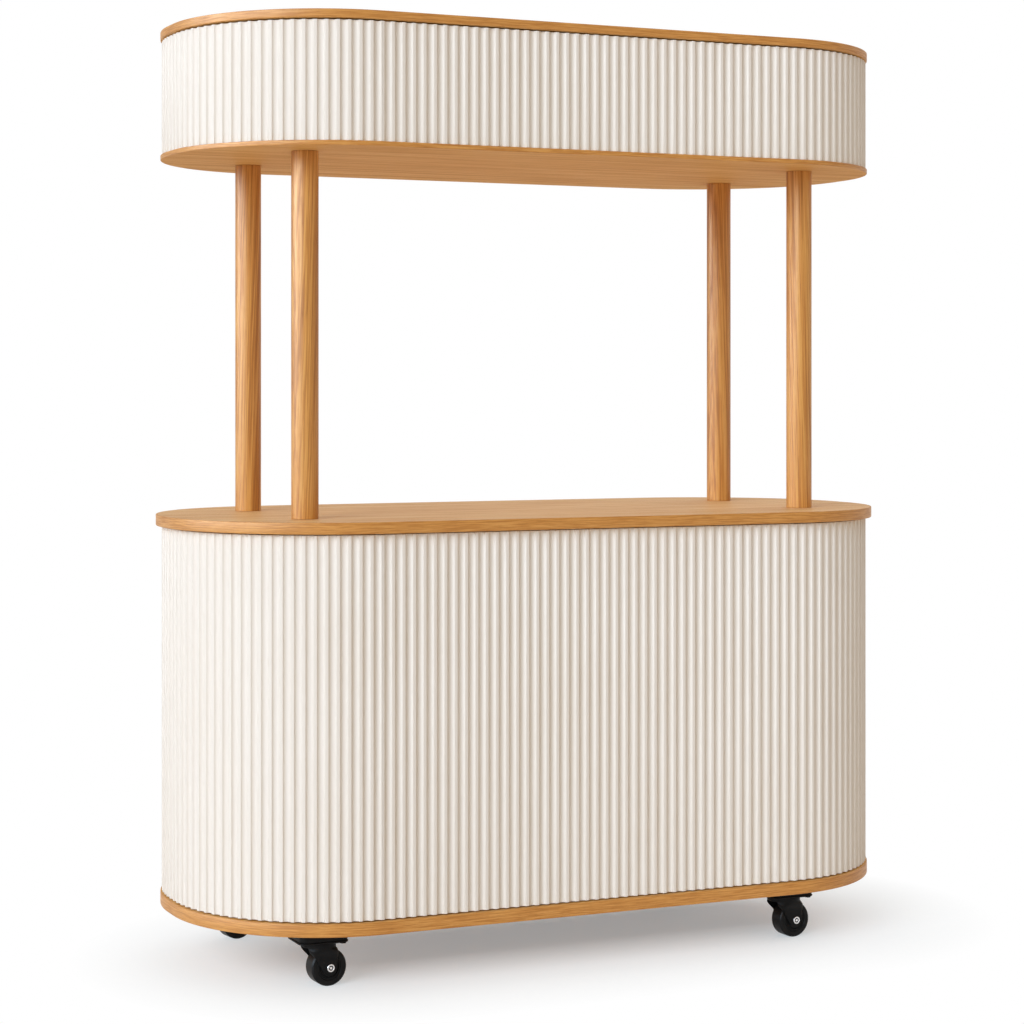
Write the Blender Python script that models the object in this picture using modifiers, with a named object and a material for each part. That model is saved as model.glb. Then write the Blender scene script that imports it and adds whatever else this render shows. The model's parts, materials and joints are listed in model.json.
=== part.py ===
"""Coffee cart: a fluted cabinet on casters, with an oak worktop and a fluted canopy on four oak posts.

Metres, +Z up. The origin is on the floor under the middle of the cart. Customers stand on the -Y side, and
the open service side, with its shelves, faces +Y.
"""

from math import acos, atan2, cos, hypot, pi, radians, sin, sqrt

import bmesh
import bpy
from mathutils import Matrix

# Plan shared by the base board, the canopy floor and the roof
PLAN_LENGTH = 1.660
PLAN_DEPTH = 0.720
END_FLAT = 0.040  # straight stretch in the middle of each rounded end
WORKTOP_OVERHANG = 0.010
BOARD_CHAMFER = 0.0015
ARC_FACETS = 12  # in a quarter turn of the plan

# Heights over the casters
PAD_HEIGHT = 0.022
BASE_THICKNESS = 0.027
CABINET_HEIGHT = 0.789
WORKTOP_THICKNESS = 0.024
SERVING_GAP = 0.764
CANOPY_FLOOR_THICKNESS = 0.010
CANOPY_HEIGHT = 0.248
ROOF_THICKNESS = 0.018

# Clearances
FIT = 0.0003  # between pieces that touch
SHADOW_GAP = 0.003  # under the cabinet's cladding and over the canopy's
SEAM = 0.0006  # between neighbouring cladding panels

# Cladding: round-bottomed flutes with flat lands between them
CLADDING_INSET = 0.003
CLADDING_THICKNESS = 0.014
FLUTE_PITCH = 0.0236
FLUTE_WIDTH = 0.0163
FLUTE_DEPTH = 0.0055
FLUTE_FACETS = 3

# Boards inside the cabinet and the canopy
PANEL_THICKNESS = 0.018
LINING_THICKNESS = 0.009
SHELF_HEIGHT = 0.390  # shelf underside over the base board
SHELF_SETBACK = 0.020  # shelf edge in from the service side's edge

# Posts and the rods that tie the canopy down
POST_DIAMETER = 0.057
POST_INSET_X = 0.231  # post axis in from the end of the plan
POST_INSET_FRONT = 0.165
POST_INSET_BACK = 0.195
POST_FACETS = 24
ROD_DIAMETER = 0.012
ROD_CLEARANCE = 0.0005
ROD_TAIL = 0.004  # rod standing out of its nut
HEX_DIAMETER = 0.022  # across the corners
HEX_HEIGHT = 0.008
ROD_FACETS = 10

# Caster places, and the way the wheels point at rest
CASTER_INSET_LEFT = 0.243  # swivel axis in from the end of the plan
CASTER_INSET_RIGHT = 0.300
CASTER_INSET_Y = 0.120
CASTER_ANGLE = 3.0  # degrees
BACK_LEFT_ANGLE = 190.0

# Wheel and axle
WHEEL_DIAMETER = 0.078
WHEEL_WIDTH = 0.036
TYRE_SHOULDER = 0.003
HUB_RADIUS = 0.025
HUB_WIDTH = 0.034
HUB_RECESS = 0.004
HUB_RIM = 0.003
HUB_BOSS_RADIUS = 0.009
AXLE_DIAMETER = 0.008
AXLE_CLEARANCE = 0.0003
AXLE_HEAD_RADIUS = 0.0075
AXLE_HEAD_HEIGHT = 0.003
AXLE_SOCKET_RADIUS = 0.0045
AXLE_SOCKET_DEPTH = 0.0015
WHEEL_FACETS = 20
AXLE_FACETS = 12

# Caster fork, from the wheel up
TRAIL = 0.018  # axle's distance from the swivel axis
FORK_SIDE_CLEARANCE = 0.0025  # from tyre to leg
SIDE_PLAY = 0.0005  # from hub boss to leg
WHEEL_CLEARANCE = 0.0012  # from tyre to kingpin head
FORK_LENGTH = 0.070
FORK_SHEET = 0.003
FORK_LUG_RADIUS = 0.017
FORK_WAIST_BACK = 0.033  # hollow in the back edge of a leg, behind the axle
FORK_WAIST_RISE = 0.017  # and over it
FORK_SKIRT = 0.004  # straight ends of the legs under the crown
LOWER_RACE_DIAMETER = 0.074
LOWER_RACE_HEIGHT = 0.007
RACE_GAP = 0.0005

# Caster top plate, upper race and kingpin
UPPER_RACE_DIAMETER = 0.068
UPPER_RACE_HEIGHT = 0.001
KINGPIN_DIAMETER = 0.012
KINGPIN_CLEARANCE = 0.0004
KINGPIN_HEAD_DIAMETER = 0.019
KINGPIN_HEAD_HEIGHT = 0.003
PLATE_LENGTH = 0.108
PLATE_WIDTH = 0.092
PLATE_THICKNESS = 0.004
PAD_INSET = 0.001

# Levels of a caster
AXLE_LEVEL = WHEEL_DIAMETER / 2
PIN_HEAD_LOW = WHEEL_DIAMETER + WHEEL_CLEARANCE
PIN_HEAD_TOP = PIN_HEAD_LOW + KINGPIN_HEAD_HEIGHT
CROWN_LOW = PIN_HEAD_TOP + FIT
CROWN_TOP = CROWN_LOW + FORK_SHEET
LOWER_RACE_TOP = CROWN_TOP + LOWER_RACE_HEIGHT
UPPER_RACE_LOW = LOWER_RACE_TOP + RACE_GAP
PLATE_LOW = UPPER_RACE_LOW + UPPER_RACE_HEIGHT
PLATE_TOP = PLATE_LOW + PLATE_THICKNESS

# Levels of the cart
BASE_LOW = PLATE_TOP + PAD_HEIGHT
BASE_TOP = BASE_LOW + BASE_THICKNESS
WORKTOP_LOW = BASE_TOP + CABINET_HEIGHT
WORKTOP_TOP = WORKTOP_LOW + WORKTOP_THICKNESS
CANOPY_LOW = WORKTOP_TOP + SERVING_GAP
CANOPY_FLOOR_TOP = CANOPY_LOW + CANOPY_FLOOR_THICKNESS
ROOF_LOW = CANOPY_FLOOR_TOP + CANOPY_HEIGHT

# Places in plan
PLAN_RADIUS = (PLAN_DEPTH - END_FLAT) / 2
TANGENT_X = PLAN_LENGTH / 2 - PLAN_RADIUS  # where the straight sides end
FACE_RADIUS = PLAN_RADIUS - CLADDING_INSET
FACE_Y = PLAN_DEPTH / 2 - CLADDING_INSET
LINED_Y = FACE_Y - CLADDING_THICKNESS - FIT  # where boards meet the back of the cladding
QUARTER_RUN = FACE_RADIUS * pi / 2
END_RUN = 2 * QUARTER_RUN + END_FLAT
FORK_INNER_WIDTH = WHEEL_WIDTH + 2 * FORK_SIDE_CLEARANCE
FORK_OUTER_WIDTH = FORK_INNER_WIDTH + 2 * FORK_SHEET
ROD_BORE_RADIUS = ROD_DIAMETER / 2 + ROD_CLEARANCE

WELD = 0.000002  # points closer than this are one point
SHARP_ANGLE = radians(35)  # edges that bend more than this look sharp
HEX_FACETS = 6
CORNERS = {"front_left": (-1, -1), "front_right": (1, -1), "back_left": (-1, 1), "back_right": (1, 1)}
SIDES = {"left": -1, "right": 1}


# Scene helpers

def clear_scene():
    """Remove whatever the file holds already."""
    for item in list(bpy.data.objects):
        bpy.data.objects.remove(item, do_unlink=True)


def new_collection(name):
    """A collection linked to the scene."""
    collection = bpy.data.collections.new(name)
    bpy.context.scene.collection.children.link(collection)
    return collection


def new_material(name, colour, roughness, metallic=0.0):
    """A plain Principled material."""
    material = bpy.data.materials.new(name)
    material.use_nodes = True
    shader = material.node_tree.nodes["Principled BSDF"]
    shader.inputs["Base Color"].default_value = (*colour, 1.0)
    shader.inputs["Roughness"].default_value = roughness
    shader.inputs["Metallic"].default_value = metallic
    return material


def add_piece(name, mesh, material, location=(0, 0, 0), parent=None):
    """Put a mesh into the cart as a named piece."""
    piece = bpy.data.objects.new(name, mesh)
    piece.location = location
    piece.parent = parent
    if not mesh.materials:
        mesh.materials.append(material)
    CART.objects.link(piece)
    return piece


def add_helper(name, data, location=(0, 0, 0)):
    """An object that only shapes the pieces."""
    helper = bpy.data.objects.new(name, data)
    helper.location = location
    helper.hide_render = True
    helper.display_type = "WIRE"
    HELPERS.objects.link(helper)
    return helper


def combine(item, helper, operation):
    """Join a helper to an object, or cut the object with it."""
    boolean = item.modifiers.new(helper.name, "BOOLEAN")
    boolean.operation = operation
    boolean.object = helper


# Mesh helpers

def settled(mesh):
    """A mesh with its doubles welded, its faces turned outwards and its round sides shaded smooth."""
    shape = bmesh.new()
    shape.from_mesh(mesh)
    bmesh.ops.remove_doubles(shape, verts=shape.verts, dist=WELD)
    bmesh.ops.recalc_face_normals(shape, faces=shape.faces)
    shape.to_mesh(mesh)
    shape.free()
    mesh.shade_smooth()
    mesh.set_sharp_from_angle(angle=SHARP_ANGLE)
    return mesh


def baked(helper):
    """The mesh of a helper with its modifiers. The helper itself goes."""
    bpy.context.view_layer.update()
    evaluated = helper.evaluated_get(bpy.context.evaluated_depsgraph_get())
    mesh = bpy.data.meshes.new_from_object(evaluated)
    mesh.name = helper.name
    bpy.data.objects.remove(helper, do_unlink=True)
    return settled(mesh)


def shaped(mesh, *steps):
    """A mesh after Booleans with other meshes, each step an operation and a mesh."""
    item = add_helper(mesh.name, mesh)
    tools = []
    for operation, tool_mesh in steps:
        tool = add_helper(tool_mesh.name, tool_mesh)
        combine(item, tool, operation)
        tools.append(tool)
    result = baked(item)
    for tool in tools:
        bpy.data.objects.remove(tool, do_unlink=True)
    return result


def box_mesh(name, low, high):
    """A box between two opposite corners."""
    shape = bmesh.new()
    bmesh.ops.create_cube(shape, size=1.0)
    bmesh.ops.scale(shape, vec=[top - bottom for bottom, top in zip(low, high)], verts=shape.verts)
    bmesh.ops.translate(shape, vec=[(top + bottom) / 2 for bottom, top in zip(low, high)], verts=shape.verts)
    mesh = bpy.data.meshes.new(name)
    shape.to_mesh(mesh)
    shape.free()
    return mesh


def prism_mesh(name, radius, low, high, facets):
    """An upright cylinder between two levels, or a hexagon with six facets."""
    shape = bmesh.new()
    bmesh.ops.create_cone(
        shape, cap_ends=True, segments=facets, radius1=radius, radius2=radius, depth=high - low,
        matrix=Matrix.Translation((0, 0, (low + high) / 2)),
    )
    mesh = bpy.data.meshes.new(name)
    shape.to_mesh(mesh)
    shape.free()
    return settled(mesh)


def outline_mesh(name, points, thickness):
    """A flat outline as a board on both sides of its own plane."""
    curve = bpy.data.curves.new(name, "CURVE")
    curve.dimensions = "2D"
    curve.fill_mode = "BOTH"
    curve.extrude = thickness / 2
    spline = curve.splines.new("POLY")
    spline.points.add(len(points) - 1)
    for point, (x, y) in zip(spline.points, points):
        point.co = (x, y, 0, 1)
    spline.use_cyclic_u = True
    return baked(add_helper(name, curve))


def turned_mesh(name, profile, facets, ring=False):
    """A profile of (radius, height), listed down its outer side and turned about Z. A ring's is a loop."""
    count = len(profile)
    edges = [(index, index + 1) for index in range(count - 1)]
    if ring:
        edges.append((count - 1, 0))
    mesh = bpy.data.meshes.new(name)
    mesh.from_pydata([(radius, 0, height) for radius, height in profile], edges, [])
    helper = add_helper(name, mesh)
    turn = helper.modifiers.new("turn", "SCREW")
    turn.steps = facets
    turn.render_steps = facets
    turn.use_merge_vertices = True
    turn.merge_threshold = WELD
    return baked(helper)


# Outlines in plan

def plan_outline(overhang):
    """The shared plan, grown outwards by an overhang."""
    radius = PLAN_RADIUS + overhang
    points = []
    for quarter, (side_x, side_y) in enumerate(((1, 1), (-1, 1), (-1, -1), (1, -1))):
        for step in range(ARC_FACETS + 1):
            angle = (quarter + step / ARC_FACETS) * pi / 2
            x = side_x * TANGENT_X + radius * cos(angle)
            y = side_y * END_FLAT / 2 + radius * sin(angle)
            points.append((x, y))
    return points


def mirrored(points, side_x=1, side_y=1):
    """An outline on the other side of the cart."""
    return [(side_x * x, side_y * y) for x, y in points]


def front_point(run, depth):
    """A place on the straight front: a run along its face from the left tangent, and a depth in from it."""
    return run - TANGENT_X, depth - FACE_Y


def right_end_point(run, depth):
    """A place on the right end: a run round its face from the front tangent, and a depth in from it."""
    if run < QUARTER_RUN:
        angle = run / FACE_RADIUS - pi / 2
        middle_y = -END_FLAT / 2
    elif run > QUARTER_RUN + END_FLAT:
        angle = (run - QUARTER_RUN - END_FLAT) / FACE_RADIUS
        middle_y = END_FLAT / 2
    else:
        angle = 0
        middle_y = run - QUARTER_RUN - END_FLAT / 2
    reach = FACE_RADIUS - depth
    return TANGENT_X + reach * cos(angle), middle_y + reach * sin(angle)


def right_end_line(depth, margin=0):
    """Corners of a plain line round the right end, stopping a margin short of both tangents."""
    runs = []
    for start in (0, QUARTER_RUN + END_FLAT):
        runs += [start + QUARTER_RUN * step / ARC_FACETS for step in range(ARC_FACETS + 1)]
    return [right_end_point(min(max(run, margin), END_RUN - margin), depth) for run in runs]


def flute_face(length):
    """The fluted face of a panel as (run, depth) points over its length, half a seam short at both ends."""
    count = max(1, round(length / FLUTE_PITCH))
    radius = (FLUTE_WIDTH ** 2 / 4 + FLUTE_DEPTH ** 2) / (2 * FLUTE_DEPTH)
    face = [(SEAM / 2, 0)]
    for flute in range(count):
        middle = (flute + 0.5) * length / count
        for step in range(FLUTE_FACETS + 1):
            offset = (step / FLUTE_FACETS - 0.5) * FLUTE_WIDTH
            depth = sqrt(radius ** 2 - offset ** 2) - (radius - FLUTE_DEPTH)
            face.append((middle + offset, depth))
    face.append((length - SEAM / 2, 0))
    return face


def front_cladding_outline():
    """Outline of a straight fluted panel on the front."""
    length = 2 * TANGENT_X
    outline = [front_point(run, depth) for run, depth in flute_face(length)]
    outline.append(front_point(length - SEAM / 2, CLADDING_THICKNESS))
    outline.append(front_point(SEAM / 2, CLADDING_THICKNESS))
    return outline


def right_cladding_outline():
    """Outline of the fluted panel bent round the right end."""
    face = [right_end_point(run, depth) for run, depth in flute_face(END_RUN)]
    back = right_end_line(CLADDING_THICKNESS, SEAM / 2)
    return face + back[::-1]


def right_rib_outline():
    """Outline of the board that fills the right end between its upright and its cladding."""
    inner_x = TANGENT_X + FIT
    return [(max(x, inner_x), y) for x, y in right_end_line(CLADDING_THICKNESS + FIT)]


# Cabinet and canopy

def add_board(name, overhang, low, thickness):
    """A level oak board of the shared plan with eased edges."""
    mesh = outline_mesh(name, plan_outline(overhang), thickness)
    board = add_piece(name, mesh, OAK, (0, 0, low + thickness / 2))
    ease = board.modifiers.new("eased edge", "BEVEL")
    ease.width = BOARD_CHAMFER
    ease.segments = 1
    ease.limit_method = "ANGLE"
    ease.angle_limit = SHARP_ANGLE
    return board


def add_standing(name, outline, low, high, material):
    """A panel with a flat outline between two levels."""
    mesh = outline_mesh(name, outline, high - low)
    add_piece(name, mesh, material, (0, 0, (low + high) / 2))


def add_panel(name, low, high):
    """A plywood box between two opposite corners."""
    add_piece(name, box_mesh(name, low, high), PLYWOOD)


def post_places():
    """Where the posts stand, in plan."""
    reach_x = PLAN_LENGTH / 2 - POST_INSET_X
    rows = {-1: POST_INSET_FRONT - PLAN_DEPTH / 2, 1: PLAN_DEPTH / 2 - POST_INSET_BACK}
    return {corner: (side_x * reach_x, rows[side_y]) for corner, (side_x, side_y) in CORNERS.items()}


def add_boards():
    """Base, worktop, canopy floor and roof. The middle two are drilled for the tie rods."""
    add_board("base_board", 0, BASE_LOW, BASE_THICKNESS)
    worktop = add_board("worktop", WORKTOP_OVERHANG, WORKTOP_LOW, WORKTOP_THICKNESS)
    floor = add_board("canopy_floor", 0, CANOPY_LOW, CANOPY_FLOOR_THICKNESS)
    add_board("canopy_roof", 0, ROOF_LOW, ROOF_THICKNESS)
    drill_low = WORKTOP_LOW - HEX_HEIGHT
    drill_high = CANOPY_FLOOR_TOP + HEX_HEIGHT
    drill = prism_mesh("rod_drill", ROD_BORE_RADIUS, drill_low, drill_high, ROD_FACETS)
    for corner, (x, y) in post_places().items():
        hole = add_helper(f"rod_hole_{corner}", drill, (x, y, 0))
        combine(worktop, hole, "DIFFERENCE")
        combine(floor, hole, "DIFFERENCE")


def add_posts():
    """Bored posts, each with a tie rod from under the worktop to a nut on the canopy floor."""
    foot = WORKTOP_TOP + FIT
    head = CANOPY_LOW - FIT
    radius = POST_DIAMETER / 2
    profile = [(radius, head), (radius, foot), (ROD_BORE_RADIUS, foot), (ROD_BORE_RADIUS, head)]
    post = turned_mesh("post", profile, POST_FACETS, ring=True)

    hex_top = WORKTOP_LOW - FIT
    hex_low = hex_top - HEX_HEIGHT
    nut_low = CANOPY_FLOOR_TOP + FIT
    nut_top = nut_low + HEX_HEIGHT
    shaft_low = hex_low + HEX_HEIGHT / 2
    shaft = prism_mesh("rod_shaft", ROD_DIAMETER / 2, shaft_low, nut_top + ROD_TAIL, ROD_FACETS)
    rod = shaped(prism_mesh("post_rod", HEX_DIAMETER / 2, hex_low, hex_top, HEX_FACETS), ("UNION", shaft))
    bore = prism_mesh("nut_bore", ROD_BORE_RADIUS, nut_low - HEX_HEIGHT, nut_top + HEX_HEIGHT, ROD_FACETS)
    nut = shaped(prism_mesh("post_nut", HEX_DIAMETER / 2, nut_low, nut_top, HEX_FACETS), ("DIFFERENCE", bore))

    for corner, (x, y) in post_places().items():
        add_piece(f"post_{corner}", post, OAK, (x, y, 0))
        add_piece(f"post_rod_{corner}", rod, STEEL, (x, y, 0))
        add_piece(f"post_nut_{corner}", nut, STEEL, (x, y, 0))


def add_cladding():
    """Fluted panels round the cabinet, open at the service side, and all round the canopy."""
    straight = front_cladding_outline()
    bent = right_cladding_outline()
    low = BASE_TOP + SHADOW_GAP
    high = WORKTOP_LOW - FIT
    add_standing("cabinet_front_cladding", straight, low, high, CREAM)
    for name, side in SIDES.items():
        add_standing(f"cabinet_{name}_cladding", mirrored(bent, side_x=side), low, high, CREAM)
    low = CANOPY_FLOOR_TOP + FIT
    high = ROOF_LOW - SHADOW_GAP
    add_standing("canopy_front_cladding", straight, low, high, CREAM)
    add_standing("canopy_back_cladding", mirrored(straight, side_y=-1), low, high, CREAM)
    for name, side in SIDES.items():
        add_standing(f"canopy_{name}_cladding", mirrored(bent, side_x=side), low, high, CREAM)


def add_cabinet_boards():
    """The boards that carry the cladding and the worktop, with the service side's divider and shelves."""
    low = BASE_TOP + FIT
    high = WORKTOP_LOW - FIT
    upright_x = TANGENT_X - PANEL_THICKNESS
    bay_x = upright_x - FIT
    half = PANEL_THICKNESS / 2
    lining_back = LINING_THICKNESS - LINED_Y
    bay_front = lining_back + FIT
    add_panel("front_lining", (-bay_x, -LINED_Y, low), (bay_x, lining_back, high))
    add_panel("centre_divider", (-half, bay_front, low), (half, FACE_Y, high))
    shelf_low = BASE_TOP + SHELF_HEIGHT
    shelf_high = shelf_low + PANEL_THICKNESS
    shelf_back = FACE_Y - SHELF_SETBACK
    rib = right_rib_outline()
    for name, side in SIDES.items():
        near, far = sorted((side * upright_x, side * TANGENT_X))
        add_panel(f"{name}_upright", (near, -LINED_Y, low), (far, FACE_Y, high))
        near, far = sorted((side * (half + FIT), side * bay_x))
        add_panel(f"{name}_shelf", (near, bay_front, shelf_low), (far, shelf_back, shelf_high))
        add_standing(f"{name}_end_rib", mirrored(rib, side_x=side), shelf_low, shelf_high, PLYWOOD)


def add_canopy_ribs():
    """Boards across the canopy where its straight and bent panels meet."""
    low = CANOPY_FLOOR_TOP + FIT
    high = ROOF_LOW - FIT
    for name, side in SIDES.items():
        near, far = sorted((side * (TANGENT_X - PANEL_THICKNESS), side * TANGENT_X))
        add_panel(f"canopy_{name}_rib", (near, -LINED_Y, low), (far, LINED_Y, high))


# Casters, each drawn round its swivel axis with the trail along X and the axle along Y

def plate_mesh():
    """Top plate with its upper race and its headed kingpin."""
    flat = box_mesh(
        "caster_plate",
        (-PLATE_LENGTH / 2, -PLATE_WIDTH / 2, PLATE_LOW),
        (PLATE_LENGTH / 2, PLATE_WIDTH / 2, PLATE_TOP),
    )
    race = UPPER_RACE_DIAMETER / 2
    pin = KINGPIN_DIAMETER / 2
    head = KINGPIN_HEAD_DIAMETER / 2
    root = PLATE_LOW + PLATE_THICKNESS / 2
    profile = [(0, root), (race, root), (race, UPPER_RACE_LOW), (pin, UPPER_RACE_LOW), (pin, PIN_HEAD_TOP)]
    profile += [(head, PIN_HEAD_TOP), (head, PIN_HEAD_LOW), (0, PIN_HEAD_LOW)]
    return shaped(flat, ("UNION", turned_mesh("kingpin", profile, WHEEL_FACETS)))


def pad_mesh():
    """Riser block between the top plate and the base board."""
    half_length = PLATE_LENGTH / 2 - PAD_INSET
    half_width = PLATE_WIDTH / 2 - PAD_INSET
    low = (-half_length, -half_width, PLATE_TOP + FIT)
    high = (half_length, half_width, BASE_LOW - FIT)
    return box_mesh("caster_pad", low, high)


def fork_side_outline():
    """Side view of the fork in (trail, height): straight ends under the crown, hollow down to the lug."""
    half = FORK_LENGTH / 2
    skirt = CROWN_LOW - FORK_SKIRT
    over_crown = CROWN_TOP + FORK_SHEET
    waist = hypot(FORK_WAIST_BACK, FORK_WAIST_RISE)
    first = atan2(FORK_WAIST_RISE, -FORK_WAIST_BACK) + acos(FORK_LUG_RADIUS / waist)
    front = half - TRAIL
    reach_up = skirt - AXLE_LEVEL
    last = atan2(reach_up, front) - acos(FORK_LUG_RADIUS / hypot(front, reach_up)) + 2 * pi
    points = [(-half, over_crown), (-half, skirt)]
    points.append((TRAIL - FORK_WAIST_BACK, AXLE_LEVEL + FORK_WAIST_RISE))
    for step in range(ARC_FACETS + 1):
        angle = first + (last - first) * step / ARC_FACETS
        points.append((TRAIL + FORK_LUG_RADIUS * cos(angle), AXLE_LEVEL + FORK_LUG_RADIUS * sin(angle)))
    points += [(half, skirt), (half, over_crown)]
    return points


def fork_mesh():
    """Folded sheet fork with its round crown: a channel trimmed to its side view and bored."""
    outer = FORK_OUTER_WIDTH / 2
    inner = FORK_INNER_WIDTH / 2
    below = AXLE_LEVEL - FORK_LUG_RADIUS - FORK_SHEET
    channel = [(-outer, CROWN_TOP), (-outer, below), (-inner, below), (-inner, CROWN_LOW)]
    channel += [(inner, CROWN_LOW), (inner, below), (outer, below), (outer, CROWN_TOP)]
    fork = outline_mesh("caster_fork", channel, FORK_LENGTH + 2 * FORK_SHEET)
    fork.transform(Matrix(((0, 0, 1, 0), (1, 0, 0, 0), (0, 1, 0, 0), (0, 0, 0, 1))))
    side = outline_mesh("fork_side", fork_side_outline(), FORK_OUTER_WIDTH + 2 * FORK_SHEET)
    side.transform(Matrix.Rotation(pi / 2, 4, "X"))
    root = CROWN_LOW + FORK_SHEET / 2
    race = prism_mesh("lower_race", LOWER_RACE_DIAMETER / 2, root, LOWER_RACE_TOP, WHEEL_FACETS)
    bore_radius = KINGPIN_DIAMETER / 2 + KINGPIN_CLEARANCE
    bore = prism_mesh("kingpin_bore", bore_radius, CROWN_LOW - FORK_SHEET, PLATE_LOW, WHEEL_FACETS)
    hole_radius = AXLE_DIAMETER / 2 + AXLE_CLEARANCE
    hole = prism_mesh("axle_hole", hole_radius, -FORK_OUTER_WIDTH, FORK_OUTER_WIDTH, AXLE_FACETS)
    hole.transform(axle_matrix())
    return shaped(fork, ("INTERSECT", side), ("UNION", race), ("DIFFERENCE", bore), ("DIFFERENCE", hole))


def axle_matrix():
    """Turns a piece made round Z into place on the axle."""
    return Matrix.Translation((TRAIL, 0, AXLE_LEVEL)) @ Matrix.Rotation(pi / 2, 4, "X")


def axle_mesh():
    """Axle pin with a head on both ends, each with a round socket."""
    shaft = AXLE_DIAMETER / 2
    shoulder = FORK_OUTER_WIDTH / 2 + FIT
    end = shoulder + AXLE_HEAD_HEIGHT
    socket = end - AXLE_SOCKET_DEPTH
    half = [(0, socket), (AXLE_SOCKET_RADIUS, socket), (AXLE_SOCKET_RADIUS, end)]
    half += [(AXLE_HEAD_RADIUS, end), (AXLE_HEAD_RADIUS, shoulder), (shaft, shoulder)]
    profile = half + [(radius, -height) for radius, height in half[::-1]]
    return turned_mesh("caster_axle", profile, AXLE_FACETS)


def hub_mesh():
    """Wheel hub: a rim, a recessed web on both sides and a boss that reaches the fork legs."""
    bore = AXLE_DIAMETER / 2 + AXLE_CLEARANCE
    boss = FORK_INNER_WIDTH / 2 - SIDE_PLAY
    face = HUB_WIDTH / 2
    web = face - HUB_RECESS
    rim = HUB_RADIUS - HUB_RIM
    half = [(HUB_RADIUS, face), (rim, face), (rim, web)]
    half += [(HUB_BOSS_RADIUS, web), (HUB_BOSS_RADIUS, boss), (bore, boss)]
    profile = [(radius, -height) for radius, height in half] + half[::-1]
    return turned_mesh("caster_hub", profile, WHEEL_FACETS, ring=True)


def tyre_mesh():
    """Tyre with rounded shoulders."""
    tread = WHEEL_DIAMETER / 2
    face = WHEEL_WIDTH / 2
    bend = TYRE_SHOULDER * (1 - sqrt(0.5))
    seat = HUB_RADIUS + FIT
    half = [(tread, face - TYRE_SHOULDER), (tread - bend, face - bend)]
    half += [(tread - TYRE_SHOULDER, face), (seat, face)]
    profile = [(radius, -height) for radius, height in half] + half[::-1]
    return turned_mesh("caster_tyre", profile, WHEEL_FACETS, ring=True)


def add_swivel(corner, place, angle):
    """Empties on a caster's two axes: the swivel axis at the floor, and the axle carried round by it."""
    swivel = bpy.data.objects.new(f"caster_swivel_{corner}", None)
    swivel.location = (*place, 0)
    swivel.rotation_euler = (0, 0, radians(angle))
    spin = bpy.data.objects.new(f"caster_spin_{corner}", None)
    spin.parent = swivel
    spin.location = (TRAIL, 0, AXLE_LEVEL)
    spin.rotation_euler = (pi / 2, 0, 0)
    CART.objects.link(swivel)
    CART.objects.link(spin)
    return swivel, spin


def add_casters():
    """Four swivel casters with their riser pads."""
    pad = pad_mesh()
    plate = plate_mesh()
    fork = fork_mesh()
    axle = axle_mesh()
    hub = hub_mesh()
    tyre = tyre_mesh()
    inset = {-1: CASTER_INSET_LEFT, 1: CASTER_INSET_RIGHT}
    for corner, (side_x, side_y) in CORNERS.items():
        x = side_x * (PLAN_LENGTH / 2 - inset[side_x])
        y = side_y * (PLAN_DEPTH / 2 - CASTER_INSET_Y)
        angle = BACK_LEFT_ANGLE if corner == "back_left" else CASTER_ANGLE
        swivel, spin = add_swivel(corner, (x, y), angle)
        add_piece(f"caster_pad_{corner}", pad, BLACK_PAINT, (x, y, 0))
        add_piece(f"caster_plate_{corner}", plate, BLACK_PAINT, (x, y, 0))
        add_piece(f"caster_fork_{corner}", fork, BLACK_PAINT, parent=swivel)
        add_piece(f"caster_axle_{corner}", axle, STEEL, parent=spin)
        add_piece(f"caster_hub_{corner}", hub, BLACK_PLASTIC, parent=spin)
        add_piece(f"caster_tyre_{corner}", tyre, RUBBER, parent=spin)


clear_scene()
CART = new_collection("coffee_cart")
HELPERS = new_collection("helpers")
OAK = new_material("oak", (0.58, 0.30, 0.11), 0.45)
PLYWOOD = new_material("plywood", (0.62, 0.43, 0.24), 0.55)
CREAM = new_material("cream_paint", (0.86, 0.82, 0.75), 0.45)
BLACK_PAINT = new_material("black_paint", (0.012, 0.012, 0.013), 0.4)
BLACK_PLASTIC = new_material("black_plastic", (0.014, 0.014, 0.015), 0.45)
RUBBER = new_material("tyre_rubber", (0.018, 0.018, 0.018), 0.7)
STEEL = new_material("bright_steel", (0.70, 0.70, 0.72), 0.25, 1.0)
add_boards()
add_posts()
add_cladding()
add_cabinet_boards()
add_canopy_ribs()
add_casters()
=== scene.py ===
"""Looks of the coffee cart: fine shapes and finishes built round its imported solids.

Metres, +Z up. Customers stand on the -Y side, and the open service side faces +Y.
"""

import json
from math import acos, atan2, cos, hypot, pi, radians, sin, tan

import bmesh
import bpy
from mathutils import Matrix, Vector


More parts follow.
